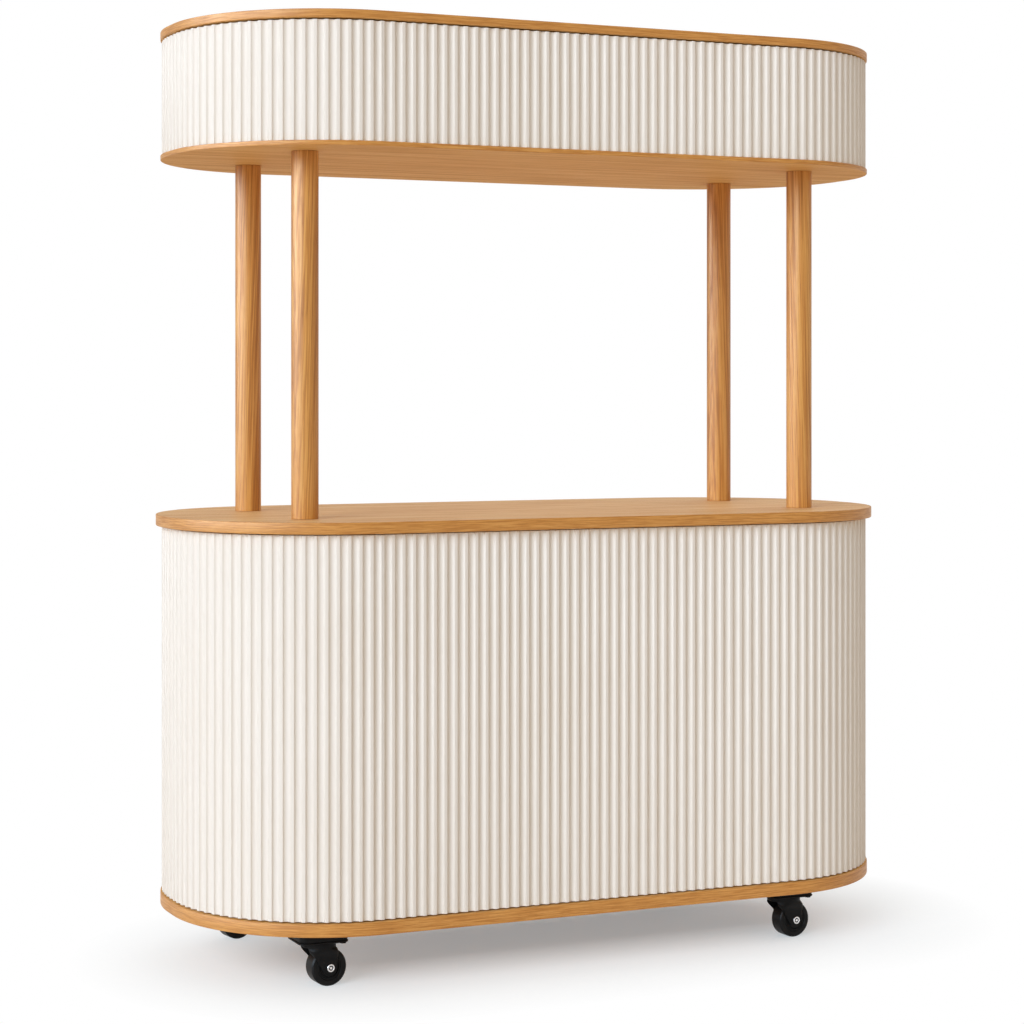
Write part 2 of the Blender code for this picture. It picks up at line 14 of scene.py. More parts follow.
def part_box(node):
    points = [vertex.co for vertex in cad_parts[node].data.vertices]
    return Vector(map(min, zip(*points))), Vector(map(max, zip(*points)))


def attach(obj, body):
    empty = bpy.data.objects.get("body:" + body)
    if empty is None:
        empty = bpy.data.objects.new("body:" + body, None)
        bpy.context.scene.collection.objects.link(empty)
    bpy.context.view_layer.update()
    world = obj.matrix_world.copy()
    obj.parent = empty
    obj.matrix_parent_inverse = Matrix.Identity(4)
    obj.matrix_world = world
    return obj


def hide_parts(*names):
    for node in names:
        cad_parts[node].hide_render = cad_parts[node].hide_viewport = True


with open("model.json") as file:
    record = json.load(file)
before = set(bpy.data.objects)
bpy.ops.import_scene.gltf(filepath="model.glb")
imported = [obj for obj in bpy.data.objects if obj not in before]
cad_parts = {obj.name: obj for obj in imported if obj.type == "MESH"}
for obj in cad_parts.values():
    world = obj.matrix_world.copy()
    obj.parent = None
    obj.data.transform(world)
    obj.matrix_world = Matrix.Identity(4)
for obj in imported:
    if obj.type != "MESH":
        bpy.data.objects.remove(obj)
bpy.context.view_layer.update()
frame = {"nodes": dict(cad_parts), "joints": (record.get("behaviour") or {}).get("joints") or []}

CORNERS = ("front_left", "front_right", "back_left", "back_right")
CLADDING = {"cabinet": ("front", "left", "right"), "canopy": ("front", "back", "left", "right")}
WELD = 0.000002  # points closer than this are one point
SHARP_ANGLE = radians(32)  # edges that bend more than this look sharp
ROUND_STEPS = 6  # facets on a rounded corner
LEVEL_RISE = 0.999  # a level face's normal rises at least this much
FACE_RISE = 0.99  # a board's face, apart from its eased edge
GRAIN_RISE = 0.7  # under this the grain runs round a board's rim

# Plan of the boards
BASE_LOW, BASE_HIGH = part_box("base_board")
END_FLAT = 0.04  # straight stretch in the middle of each rounded end
PLAN_RADIUS = (BASE_HIGH.y - BASE_LOW.y - END_FLAT) / 2
TANGENT_X = BASE_HIGH.x - PLAN_RADIUS  # where the straight sides end
ARC_STEPS = 72  # in a quarter turn of the plan

# Oak boards and posts
BOARD_EASE = 0.0018
CANOPY_FLOOR_EASE = 0.0012
EASE_STEPS = 3
ROD_BORE = 0.0065
BORE_STEPS = 24
POST_EASE = 0.0008
POST_STEPS = 96

# Fluted cladding
FLUTE_PITCH = 0.0236
FLUTE_STEPS = 32  # facets across one pitch
FLUTING = {
    "Flute Width": 0.0163,
    "Flute Depth": 0.0055,
    "Land Ease": 0.0011,  # rounding where a flute meets its land
    "Edge Ease": 0.0004,  # at a panel's upper and lower edge
    "Seam": 0.0006,
}
PANEL_DROP = {"cabinet": 0.0024, "canopy": 0.0}  # shadow line over the panels

# Plywood
PLY_EASE = 0.0006
PLY_PAIR = 0.003  # thickness of a light and a dark ply together

# Caster plate, races and kingpin
PLATE_THICKNESS = 0.004
PLATE_CORNER = 0.016
PLATE_EASE = 0.0014
PAD_EASE = 0.002
RACE_RADIUS = 0.034
RACE_HEIGHT = 0.001
RACE_LIP = 0.0004
KINGPIN_RADIUS = 0.006
KINGPIN_HEAD_RADIUS = 0.0095
KINGPIN_HEAD_HEIGHT = 0.003
KINGPIN_HEAD_EASE = 0.0008
BOLT_SPREAD = (0.084, 0.068)
BOLT = {"Head Radius": 0.0072, "Head Height": 0.0022, "Washer Radius": 0.008, "Washer Height": 0.0008}
BOLT_SIDES = 6
BOLT_HOLE_RADIUS = 0.6 * BOLT["Head Radius"]

# Caster fork
CUP_RADIUS = 0.037
CUP_LOW = 0.0835
CUP_EASE = 0.0016
LEG_HALF_WIDTH = 0.0235
LEG_TOP = 0.056  # where a leg's face starts to swell into the cup
WHEEL_ROOM = 0.0205  # half the width between the legs
WHEEL_ROOM_TOP = 0.0825
LUG_RADIUS = 0.017
WAIST_BACK = 0.033  # hollow in a leg's back edge: behind the axle and over it
WAIST_RISE = 0.0215
WAIST_ROUND = 0.018
CUP_BACK_ROUND = 0.012
CUP_FRONT_ROUND = 0.006
SIDE_STEPS = 10  # facets on each of these roundings
LEG_SQUARENESS = 10  # how much squarer than round a leg's section is
FORK_RINGS = 56
RING_REACH = (0.0004, 0.9999)  # lowest and highest ring, as shares of the fork's height
FORK_STEPS = 72
WHEEL_ROOM_EASE = 0.002
KINGPIN_GAP = 0.0004
BORE_PAST = 0.01  # how far the kingpin's bore is cut past the fork
AXLE_BORE_HALF = 0.05

# Wheel and axle
TREAD_RADIUS = 0.039
TYRE_HALF = 0.018
TYRE_SHOULDER = 0.003
TYRE_EASE = 0.001
TYRE_GAP = 0.0003  # between tyre and hub
BEAD = (  # inwards along a tyre's side: height over its seat, depth, rounding
    (0.0028, 0.0, 0.0006),
    (0.002, 0.001, 0.0003),
    (0.0009, 0.001, 0.0003),
    (0.0, 0.0002, 0.0003),
)
SEAT_STEP = 0.0012  # a tyre's seat stops this far inside the hub's faces
HUB_RADIUS = 0.025
HUB_HALF = 0.017
HUB_RIM_AND_WEB = (  # inwards: radius, depth under the rim's face, rounding
    (HUB_RADIUS, 0.0, 0.0008),
    (HUB_RADIUS - 0.0032, 0.0, 0.0008),
    (HUB_RADIUS - 0.0042, 0.003, 0.0012),
    (0.0125, 0.0022, 0.0025),
)
BOSS = ((0.009, 0.0006, 0.001), (0.0082, 0.0, 0.0004))  # inwards: radius, depth under its face, rounding
BOSS_GAP = 0.0005  # between the boss and a leg
AXLE_RADIUS = 0.004
AXLE_GAP = 0.0003  # round the axle and behind its heads
AXLE_HEAD_RADIUS = 0.0082
AXLE_HEAD_HEIGHT = 0.0028
AXLE_HEAD_EASE = 0.0009
AXLE_HEAD_BACK_EASE = 0.0004
SOCKET_RADIUS = 0.005
SOCKET_DEPTH = 0.002
SOCKET_EASE = 0.0005
SOCKET_FLOOR_EASE = 0.0003
PIP_RADIUS = 0.0029
PIP_EASE = 0.0006
# painted shade: an axle socket's floor is painted black, up to this rise and within this ring, for the
# shadow in the recess
SOCKET_SHADE_RISE = 0.6 * SOCKET_DEPTH  # from a socket's floor
SOCKET_SHADE_RING = (0.9 * PIP_RADIUS, 1.02 * SOCKET_RADIUS)
WHEEL_STEPS = 96
AXLE_STEPS = 48


# Node trees

class Net:
    """Writes one node tree: each call adds a node, wires its inputs and hands back an output."""

    def __init__(self, tree):
        self.tree = tree

    def feed(self, socket, value):
        """Wire a socket to another one, or set its value. A colour of three parts is made opaque."""
        if isinstance(value, bpy.types.NodeSocket):
            self.tree.links.new(value, socket)
        elif socket.type == "RGBA" and len(value) == 3:
            socket.default_value = (*value, 1.0)
        else:
            socket.default_value = value

    def fill(self, node, inputs):
        """Feed a node's inputs by name."""
        for name, value in inputs.items():
            self.feed(node.inputs[name], value)

    def node(self, kind, inputs=None, **settings):
        """A node with its settings made and its inputs fed by name."""
        made = self.tree.nodes.new(kind)
        for name, value in settings.items():
            setattr(made, name, value)
        self.fill(made, inputs or {})
        return made

    def output(self, kind, inputs=None, **settings):
        """The first output of a node."""
        return self.node(kind, inputs, **settings).outputs[0]

    def in_turn(self, kind, *values, **settings):
        """The output of a node whose inputs are fed in turn."""
        made = self.node(kind, **settings)
        for socket, value in zip(made.inputs, values):
            self.feed(socket, value)
        return made.outputs[0]

    def math(self, operation, *values):
        """A sum on numbers."""
        return self.in_turn("ShaderNodeMath", *values, operation=operation)

    def plus(self, first, second):
        return self.math("ADD", first, second)

    def minus(self, first, second):
        return self.math("SUBTRACT", first, second)

    def times(self, first, second):
        return self.math("MULTIPLY", first, second)

    def vector(self, operation, *values):
        """A sum on vectors."""
        return self.in_turn("ShaderNodeVectorMath", *values, operation=operation)

    def place(self):
        """A point's place on its own piece."""
        return self.node("ShaderNodeTexCoord").outputs["Object"]

    def parts(self, vector):
        """A vector's X, Y and Z."""
        return self.node("ShaderNodeSeparateXYZ", {"Vector": vector}).outputs

    def joined(self, **parts):
        """A vector from its X, Y and Z."""
        return self.output("ShaderNodeCombineXYZ", parts)

    def blend(self, factor, first, second):
        """Two colours mixed."""
        made = self.node("ShaderNodeMix", data_type="RGBA")
        for index, value in ((0, factor), (6, first), (7, second)):
            self.feed(made.inputs[index], value)
        return made.outputs[2]

    def noise(self, place, fineness, detail=2.0, roughness=0.5):
        """Noise from 0 to 1 at a place, with its fineness along each axis."""
        scaled = self.vector("MULTIPLY", place, fineness)
        inputs = {"Vector": scaled, "Scale": 1.0, "Detail": detail, "Roughness": roughness}
        return self.output("ShaderNodeTexNoise", inputs)

    def span(self, value, low, high, to_low=0.0, to_high=1.0):
        """A value's range stretched to another one and held there."""
        inputs = {"Value": value, "From Min": low, "From Max": high, "To Min": to_low, "To Max": to_high}
        return self.output("ShaderNodeMapRange", inputs)


def new_tree(name, kind, inputs, outputs):
    """A node group with sockets named by type: its net, what it is given and its output node."""
    tree = bpy.data.node_groups.new(name, kind)
    for way, sockets in (("INPUT", inputs), ("OUTPUT", outputs)):
        for socket_type, names in sockets.items():
            for socket in names:
                tree.interface.new_socket(socket, in_out=way, socket_type=f"NodeSocket{socket_type}")
    net = Net(tree)
    return net, net.node("NodeGroupInput").outputs, net.node("NodeGroupOutput")


def new_material(name):
    """A material with its net and its shader."""
    material = bpy.data.materials.new(name)
    material.use_nodes = True
    return material, Net(material.node_tree), material.node_tree.nodes["Principled BSDF"]


# Shared effects

OAK_TONE_NAMES = ("Dark", "Middle", "Light")
FACE_TONES = ((0.6, 0.283, 0.078), (0.788, 0.438, 0.143), (0.88, 0.56, 0.225))
# painted sheen: the worktop's top tones are lighter and paler than FACE_TONES, standing in for its white
# reflection at a grazing view
SHEEN_TOP_TONES = ((0.64, 0.325, 0.115), (0.84, 0.505, 0.21), (0.91, 0.625, 0.3))
EDGE_TONES = ((0.47, 0.185, 0.034), (0.585, 0.252, 0.053), (0.69, 0.335, 0.086))
POST_TONES = ((0.42, 0.16, 0.029), (0.6, 0.258, 0.054), (0.72, 0.37, 0.096))
OAK_PORE = (0.26, 0.086, 0.018)
OIL_SHEEN = (1.0, 0.85, 0.7)
OAK_RELIEF = 0.00012
OAK_DRIFT = (1.6, 7.0, 7.0)  # fineness of oak's figure along, across and aside of the grain
OAK_RIPPLE = (16.0, 40.0, 40.0)
OAK_BANDS = (1.3, 30.0, 9.0)
OAK_STREAKS = (5.0, 130.0, 60.0)
OAK_LINES = (11.0, 330.0, 110.0)
OAK_FIBRE = (60.0, 1500.0, 1500.0)
OAK_SPECKS = (36.0, 1000.0, 1000.0)
DRIFT_REACH = 0.012  # how far drift and ripple carry the figure aside
RIPPLE_REACH = 0.003
STREAK_SHARE = 0.6  # of streaks and of fine lines in oak's tone
LINE_SHARE = 0.4
PORES_BY_SPECKS = (0.56, 0.68)  # a noise's or tone's stretch, and what its ends turn to if not 0 and 1
PORES_BY_LINES = (0.36, 0.58, 1.0, 0.2)
LIGHT_BY_TONE = (0.49, 0.59)
DARK_BY_TONE = (0.42, 0.5, 1.0, 0.0)
DARK_BY_FIBRE = (0.3, 0.7, 0.0, 0.25)
ROUGH_BY_TONE = (0.38, 0.61, 0.1, 0.0)
PORE_DARKNESS = 0.5
PORE_ROUGHNESS = 0.2
FIBRE_HEIGHT = 0.3  # against a pore's depth
FACE_GRAIN = (0.3, 1.0, 1.0)  # each finish's fineness, times the figure's
EDGE_GRAIN = (2.2, 3.0, 1.0)
POST_GRAIN = (0.25, 1.2, 1.2)
POST_LEAN = 0.035  # a post's growth rings shift by this in a metre of height
CREAM = (0.817, 0.752, 0.678)
CREAM_DEEP = (0.8, 0.73, 0.65)
CREAM_STREAKS = (55.0, 55.0, 2.2)
CREAM_BY_STREAKS = (0.36, 0.64)
CREAM_ROUGH = (0.4, 0.5)
CREAM_SPECULAR = 0.14
CREAM_RELIEF = 0.00002
PLY_LIGHT = (0.69, 0.51, 0.31)
PLY_DARK = (0.56, 0.375, 0.2)
PLY_CORE = (0.33, 0.19, 0.085)
PLY_FIGURE = (2.2, 34.0, 34.0)
PLY_FIBRE = (22.0, 700.0, 700.0)
PLY_FIBRE_SHARE = 0.3  # of the fibre in plywood's tone
PLY_LIGHT_BY_TONE = (0.34, 0.62)
PLY_ROUGH_BY_TONE = (0.3, 0.7, 0.62, 0.5)
PLY_RELIEF = 0.0001
COAT_RELIEF = 0.00005
METAL_RELIEF = 0.00003
SLOW_MIDDLE = (0.3, 0.7)  # stretch of the slow unevenness that changes the gloss
SLOW_PATCHES = (0.35, 0.68)  # and the tone
BLACK = (0.005, 0.005, 0.0052)
BLACK_WORN = (0.0085, 0.0085, 0.0088)
RUBBER = (0.0055, 0.0055, 0.0057)
RUBBER_DUSTY = (0.011, 0.0108, 0.0106)
STEEL = (0.93, 0.93, 0.94)
STEEL_DULL = (0.8, 0.8, 0.815)
ZINC = (0.6, 0.61, 0.625)
ZINC_DULL = (0.43, 0.44, 0.46)


def oak_figure_group():
    """Oak's colour, roughness and height from a place along, across and aside of its grain."""
    inputs = {"Vector": ["Place"], "Float": ["Banding"], "Color": OAK_TONE_NAMES}
    outputs = {"Color": ["Colour"], "Float": ["Roughness", "Height"]}
    net, given, result = new_tree("oak_figure", "ShaderNodeTree", inputs, outputs)
    place = given["Place"]
    drift = net.span(net.noise(place, OAK_DRIFT), 0, 1, -DRIFT_REACH, DRIFT_REACH)
    ripple = net.span(net.noise(place, OAK_RIPPLE), 0, 1, -RIPPLE_REACH, RIPPLE_REACH)
    swayed = net.vector("ADD", place, net.joined(Y=net.plus(drift, ripple)))
    bands = net.noise(swayed, OAK_BANDS, 3.0, 0.6)
    streaks = net.noise(swayed, OAK_STREAKS)
    lines = net.noise(swayed, OAK_LINES, 1.0)
    fibre = net.noise(swayed, OAK_FIBRE)
    specks = net.noise(swayed, OAK_SPECKS, 1.0)
    banded = net.times(net.minus(bands, streaks), given["Banding"])
    tone = net.times(net.plus(streaks, banded), STREAK_SHARE)
    tone = net.math("MULTIPLY_ADD", lines, LINE_SHARE, tone)
    pores = net.times(net.span(specks, *PORES_BY_SPECKS), net.span(lines, *PORES_BY_LINES))
    colour = net.blend(net.span(tone, *LIGHT_BY_TONE), given["Middle"], given["Light"])
    colour = net.blend(net.span(tone, *DARK_BY_TONE), colour, given["Dark"])
    colour = net.blend(net.span(fibre, *DARK_BY_FIBRE), colour, given["Dark"])
    colour = net.blend(net.times(pores, PORE_DARKNESS), colour, OAK_PORE)
    rough = net.plus(net.span(tone, *ROUGH_BY_TONE), net.times(pores, PORE_ROUGHNESS))
    height = net.minus(net.times(fibre, FIBRE_HEIGHT), pores)
    net.fill(result, {"Colour": colour, "Roughness": rough, "Height": height})
    return net.tree


def unevenness_group():
    """Slow and fine unevenness of a coated or moulded surface, both from 0 to 1, at a given fineness."""
    names = ("Slow", "Fine")
    inputs = {"Float": [f"{name} Scale" for name in names]}
    net, given, result = new_tree("unevenness", "ShaderNodeTree", inputs, {"Float": names})
    place = net.place()
    for name in names:
        noise = {"Vector": place, "Scale": given[f"{name} Scale"], "Detail": 3.0}
        net.feed(result.inputs[name], net.output("ShaderNodeTexNoise", noise))
    return net.tree


def uneven(net, slow_scale, fine_scale):
    """The unevenness group placed in a material."""
    inputs = {"Slow Scale": slow_scale, "Fine Scale": fine_scale}
    return net.node("ShaderNodeGroup", inputs, node_tree=UNEVENNESS).outputs


def add_bump(net, shader, height, distance, strength):
    """Bump under a shader."""
    bump = net.output("ShaderNodeBump", {"Height": height, "Distance": distance, "Strength": strength})
    net.feed(shader.inputs["Normal"], bump)


# Finishes

def finish_oak(net, shader, place, grain, tones, banding, smoothest, specular):
    """Oiled oak over a place in its grain, in dark, middle and light tones."""
    inputs = dict(zip(OAK_TONE_NAMES, tones))
    inputs["Place"] = net.vector("MULTIPLY", place, grain)
    inputs["Banding"] = banding
    figure = net.node("ShaderNodeGroup", inputs, node_tree=OAK_FIGURE).outputs
    rough = net.plus(figure["Roughness"], smoothest)
    net.fill(shader, {"Base Color": figure["Colour"], "Roughness": rough})
    net.fill(shader, {"Specular IOR Level": specular, "Specular Tint": OIL_SHEEN})
    add_bump(net, shader, figure["Height"], OAK_RELIEF, strength=0.5)


def board_oak(name, grain, tones, **finish):
    """Oak on boards, its grain along their length and round their edges, from each board's grain map."""
    material, net, shader = new_material(name)
    place = net.output("ShaderNodeUVMap", uv_map="grain")
    finish_oak(net, shader, place, grain, tones, **finish)
    return material


def post_oak():
    """Solid oak on turned posts: growth rings about a far pith, leaning a little."""
    material, net, shader = new_material("post_oak")
    part = net.parts(net.place())
    ring = net.node("ShaderNodeVectorMath", operation="LENGTH")
    net.feed(ring.inputs[0], net.joined(X=part["X"], Y=part["Y"]))
    across = net.plus(ring.outputs["Value"], net.times(part["Z"], POST_LEAN))
    aside = net.minus(part["X"], part["Y"])
    place = net.joined(X=part["Z"], Y=across, Z=aside)
    finish_oak(net, shader, place, POST_GRAIN, POST_TONES, banding=0.35, smoothest=0.34, specular=0.7)
    return material


def cream_paint():
    """Satin cream lacquer on the fluted panels."""
    material, net, shader = new_material("cream_paint")
    streaks = net.noise(net.place(), CREAM_STREAKS, 3.0)
    surface = uneven(net, slow_scale=3.5, fine_scale=900.0)
    share = net.times(net.plus(streaks, surface["Slow"]), 0.5)
    colour = net.blend(net.span(share, *CREAM_BY_STREAKS), CREAM, CREAM_DEEP)
    rough = net.span(surface["Slow"], *SLOW_MIDDLE, *CREAM_ROUGH)
    net.fill(shader, {"Base Color": colour, "Roughness": rough, "Specular IOR Level": CREAM_SPECULAR})
    add_bump(net, shader, surface["Fine"], CREAM_RELIEF, strength=0.3)
    return material


def plywood(name, turn):
    """Plywood, plies showing at its cut edges. Turn brings along, across and thickness to X, Y and Z."""
    material, net, shader = new_material(name)
    axes = {"Rotation": turn}
    turned = net.output("ShaderNodeMapping", {"Vector": net.place(), **axes})
    facing = net.node("ShaderNodeNewGeometry").outputs["Normal"]
    facing = net.output("ShaderNodeMapping", {"Vector": facing, **axes})
    through = net.parts(facing)["Z"]
    cut = net.math("LESS_THAN", net.math("ABSOLUTE", through), 0.5)
    depth = net.parts(turned)["Z"]
    layer = net.math("FRACT", net.math("DIVIDE", depth, PLY_PAIR))
    figure = net.noise(turned, PLY_FIGURE, 4.0, 0.6)
    fibre = net.noise(turned, PLY_FIBRE)
    tone = net.plus(net.times(figure, 1 - PLY_FIBRE_SHARE), net.times(fibre, PLY_FIBRE_SHARE))
    face = net.blend(net.span(tone, *PLY_LIGHT_BY_TONE), PLY_DARK, PLY_LIGHT)
    plies = net.blend(net.math("GREATER_THAN", layer, 0.5), face, PLY_CORE)
    rough = net.span(tone, *PLY_ROUGH_BY_TONE)
    net.fill(shader, {"Base Color": net.blend(cut, face, plies), "Roughness": rough})
    add_bump(net, shader, fibre, PLY_RELIEF, strength=0.4)
    return material


def patchy(name, tones, rough, scales):
    """A material with a patchy gloss: also its net, its shader, a patchy tone and a fine texture."""
    material, net, shader = new_material(name)
    surface = uneven(net, *scales)
    net.feed(shader.inputs["Roughness"], net.span(surface["Slow"], *SLOW_MIDDLE, *rough))
    tone = net.blend(net.span(surface["Slow"], *SLOW_PATCHES), *tones)
    return material, net, shader, tone, surface["Fine"]


def coated(name, *tones, rough, scales, specular):
    """A black coating, moulding or rubber: two near tones, uneven gloss and a fine texture."""
    material, net, shader, tone, texture = patchy(name, tones, rough, scales)
    net.fill(shader, {"Base Color": tone, "Specular IOR Level": specular})
    add_bump(net, shader, texture, COAT_RELIEF, strength=0.5)
    return material


def bare_metal(name, *tones, rough, scales):
    """Bare or plated steel with a patchy sheen, painted black where it is marked as a socket, as shade in
    the recess.
    """
    material, net, shader, tone, texture = patchy(name, tones, rough, scales)
    # painted shade: black on the marked socket floors
    socket = net.node("ShaderNodeAttribute", attribute_name="socket").outputs["Fac"]
    net.fill(shader, {"Base Color": net.blend(socket, tone, BLACK), "Metallic": 1.0})
    add_bump(net, shader, texture, METAL_RELIEF, strength=0.3)
    return material


# Meshes

def settled(mesh):
    """A mesh with doubles welded, faces turned outwards and round sides shaded smooth."""
    shape = bmesh.new()
    shape.from_mesh(mesh)
    bmesh.ops.remove_doubles(shape, verts=shape.verts, dist=WELD)
    bmesh.ops.recalc_face_normals(shape, faces=shape.faces)
    shape.to_mesh(mesh)
    shape.free()
    mesh.shade_smooth()
    mesh.set_sharp_from_angle(angle=SHARP_ANGLE)
    return mesh


def linked(name, data):
    """An object put into the scene."""
    item = bpy.data.objects.new(name, data)
    bpy.context.scene.collection.objects.link(item)
    return item


def mesh_of(item):
    """The mesh of an object with its modifiers. The object goes."""
    bpy.context.view_layer.update()
    evaluated = item.evaluated_get(bpy.context.evaluated_depsgraph_get())
    mesh = bpy.data.meshes.new_from_object(evaluated)
    bpy.data.objects.remove(item, do_unlink=True)
    return mesh


def mesh_from(shape):
    """The mesh of a bmesh, which is let go."""
    mesh = bpy.data.meshes.new("shape")
    shape.to_mesh(mesh)
    shape.free()
    return mesh


def combined(mesh, *steps):
    """A mesh after Booleans with other meshes, each step an operation and a mesh."""
    item = linked(mesh.name, mesh)
    tools = []
    for operation, tool_mesh in steps:
        tool = linked(tool_mesh.name, tool_mesh)
        boolean = item.modifiers.new(tool.name, "BOOLEAN")
        boolean.operation = operation
        boolean.object = tool
        tools.append(tool)
    result = mesh_of(item)
    for tool in tools:
        bpy.data.objects.remove(tool, do_unlink=True)
    return settled(result)


def rounded(corners, steps=ROUND_STEPS):
    """A closed outline of (x, y, radius) corners with arcs at the rounded ones."""
    points = []
    for index, (x, y, radius) in enumerate(corners):
        here = Vector((x, y))
        back = Vector(corners[index - 1][:2]) - here
        ahead = Vector(corners[(index + 1) % len(corners)][:2]) - here
        if not radius:
            points.append((x, y))
            continue
        back.normalize()
        ahead.normalize()
        half = acos(max(-1.0, min(1.0, back.dot(ahead)))) / 2
        middle = here + (back + ahead).normalized() * radius / sin(half)
        start = here + back * radius / tan(half) - middle
        end = here + ahead * radius / tan(half) - middle
        turn = atan2(start.x * end.y - start.y * end.x, start.dot(end))
        for step in range(steps + 1):
            spot = middle + Matrix.Rotation(turn * step / steps, 2) @ start
            points.append((spot.x, spot.y))
    return points


def round_hole(x, y, radius):
    """A hole's outline."""
    turns = [-2 * pi * step / BORE_STEPS for step in range(BORE_STEPS)]
    return [(x + radius * cos(turn), y + radius * sin(turn)) for turn in turns]


def add_line(curve, points, closed):
    """A line through points in plan, added to a curve."""
    spline = curve.splines.new("POLY")
    spline.points.add(len(points) - 1)
    for point, (x, y) in zip(spline.points, points):
        point.co = (x, y, 0, 1)
    spline.use_cyclic_u = closed


def flat_board(outlines, low, high, ease):
    """A level board with eased edges. The first outline is its edge, the others are holes in it."""
    curve = bpy.data.curves.new("board", "CURVE")
    curve.dimensions = "2D"
    curve.fill_mode = "BOTH"
    curve.extrude = (high - low) / 2 - ease
    curve.bevel_depth = ease
    curve.bevel_resolution = EASE_STEPS
    curve.offset = -ease
    for outline in outlines:
        add_line(curve, outline, closed=True)
    mesh = settled(mesh_of(linked("board", curve)))
    mesh.transform(Matrix.Translation((0, 0, (low + high) / 2)))
    flatten_levels(mesh)
    return mesh


def flatten_levels(mesh):
    """Level faces shade flat, so their eased edges stay crisp."""
    for face in mesh.polygons:
        if abs(face.normal.z) > LEVEL_RISE:
            face.use_smooth = False


def turned(corners, steps):
    """A closed outline of (radius, height, rounding) corners turned about Z."""
    shape = bmesh.new()
    spots = [shape.verts.new((radius, 0, height)) for radius, height in rounded(corners)]
    edges = [shape.edges.new(pair) for pair in zip(spots, spots[1:] + spots[:1])]
    bmesh.ops.spin(shape, geom=spots + edges, axis=(0, 0, 1), cent=(0, 0, 0), angle=2 * pi, steps=steps)
    bmesh.ops.remove_doubles(shape, verts=shape.verts, dist=WELD)
    bmesh.ops.dissolve_degenerate(shape, edges=shape.edges, dist=WELD)
    return settled(mesh_from(shape))


def eased_box(low, high, ease):
    """A board between two corners with eased edges."""
    shape = bmesh.new()
    bmesh.ops.create_cube(shape, size=1.0)
    bmesh.ops.scale(shape, vec=high - low, verts=shape.verts)
    bmesh.ops.translate(shape, vec=(low + high) / 2, verts=shape.verts)
    bmesh.ops.bevel(shape, geom=shape.edges, offset=ease, segments=2, affect="EDGES", profile=0.5)
    return settled(mesh_from(shape))


def fitted(name, mesh, material, body, slot, *nodes):
    """Put a finished mesh into the scene on its body, in place of the solids that it stands for."""
    mesh.name = name
    mesh.materials.clear()
    mesh.materials.append(material)
    piece = linked(name, mesh)
    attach(piece, body)
    if nodes:
        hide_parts(*nodes)
    return piece


def dress(node, material):
    """Give a solid that stays its finish."""
    for slot in frame["nodes"][node].material_slots:
        slot.material = material


# Oak boards and posts

def quarter_turn(x, y, radius, start):
    """Points of an arc of a quarter turn in plan."""
    turns = [start + step / ARC_STEPS * pi / 2 for step in range(ARC_STEPS + 1)]
    return [(x + radius * cos(turn), y + radius * sin(turn)) for turn in turns]


def plan_edge(half_length, half_depth):
    """A board's edge in plan, from the middle of the service side round by the left."""
    radius = half_depth - END_FLAT / 2
    reach = half_length - radius
    points = [(0, half_depth)]
    for quarter, (side_x, side_y) in enumerate(((-1, 1), (-1, -1), (1, -1), (1, 1)), start=1):
        points += quarter_turn(side_x * reach, side_y * END_FLAT / 2, radius, quarter * pi / 2)
    return points


def edge_run(x, y):
    """Distance along a board's edge from the middle of the customers' side, for x to the right."""
    reach = x - TANGENT_X
    if reach < 0:
        return x if y < 0 else 2 * TANGENT_X + pi * PLAN_RADIUS + END_FLAT - x
    flat_y = min(max(y, -END_FLAT / 2), END_FLAT / 2)
    turn = atan2(y - flat_y, reach) + pi / 2
    return TANGENT_X + PLAN_RADIUS * turn + flat_y + END_FLAT / 2


def map_grain(mesh):
    """Grain map of a board: along X on its faces, and round the rim on its edge."""
    layer = mesh.uv_layers.new(name="grain")
    for face in mesh.polygons:
        level = abs(face.normal.z) > GRAIN_RISE
        side = 1 if face.center.x > 0 else -1
        for corner in face.loop_indices:
            x, y, z = mesh.vertices[mesh.loops[corner].vertex_index].co
            if level:
                layer.uv[corner].vector = (x, y)
            else:
                layer.uv[corner].vector = (side * edge_run(side * x, y), z)


def post_middle(corner):
    """Where a post stands in plan."""
    low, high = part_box(f"post_{corner}")
    return (low.x + high.x) / 2, (low.y + high.y) / 2


def oak_board(node, name, material, ease, drilled):
    """A finer board over one of the solids."""
    low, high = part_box(node)
    outlines = [plan_edge(high.x, high.y)]
    if drilled:
        outlines += [round_hole(*post_middle(corner), ROD_BORE) for corner in CORNERS]
    mesh = flat_board(outlines, low.z, high.z, ease)
    map_grain(mesh)
    board = fitted(name, mesh, material, "cart", "oak", node)
    board.data.materials.append(EDGE_OAK)
    for face in mesh.polygons:
        face.material_index = 0 if abs(face.normal.z) > FACE_RISE else 1


def oak_post(corner):
    """A turned post with eased ends, bored for its tie rod."""
    node = f"post_{corner}"
    low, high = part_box(node)
    radius = (high.x - low.x) / 2
    corners = [(radius, high.z, POST_EASE), (radius, low.z, POST_EASE)]
    corners += [(ROD_BORE, low.z, 0), (ROD_BORE, high.z, 0)]
    mesh = turned(corners, POST_STEPS)
    mesh.transform(Matrix.Translation((*post_middle(corner), 0)))
    fitted(f"oak_post_{corner}", mesh, POST_OAK, "cart", "oak", node)


# Fluted cladding

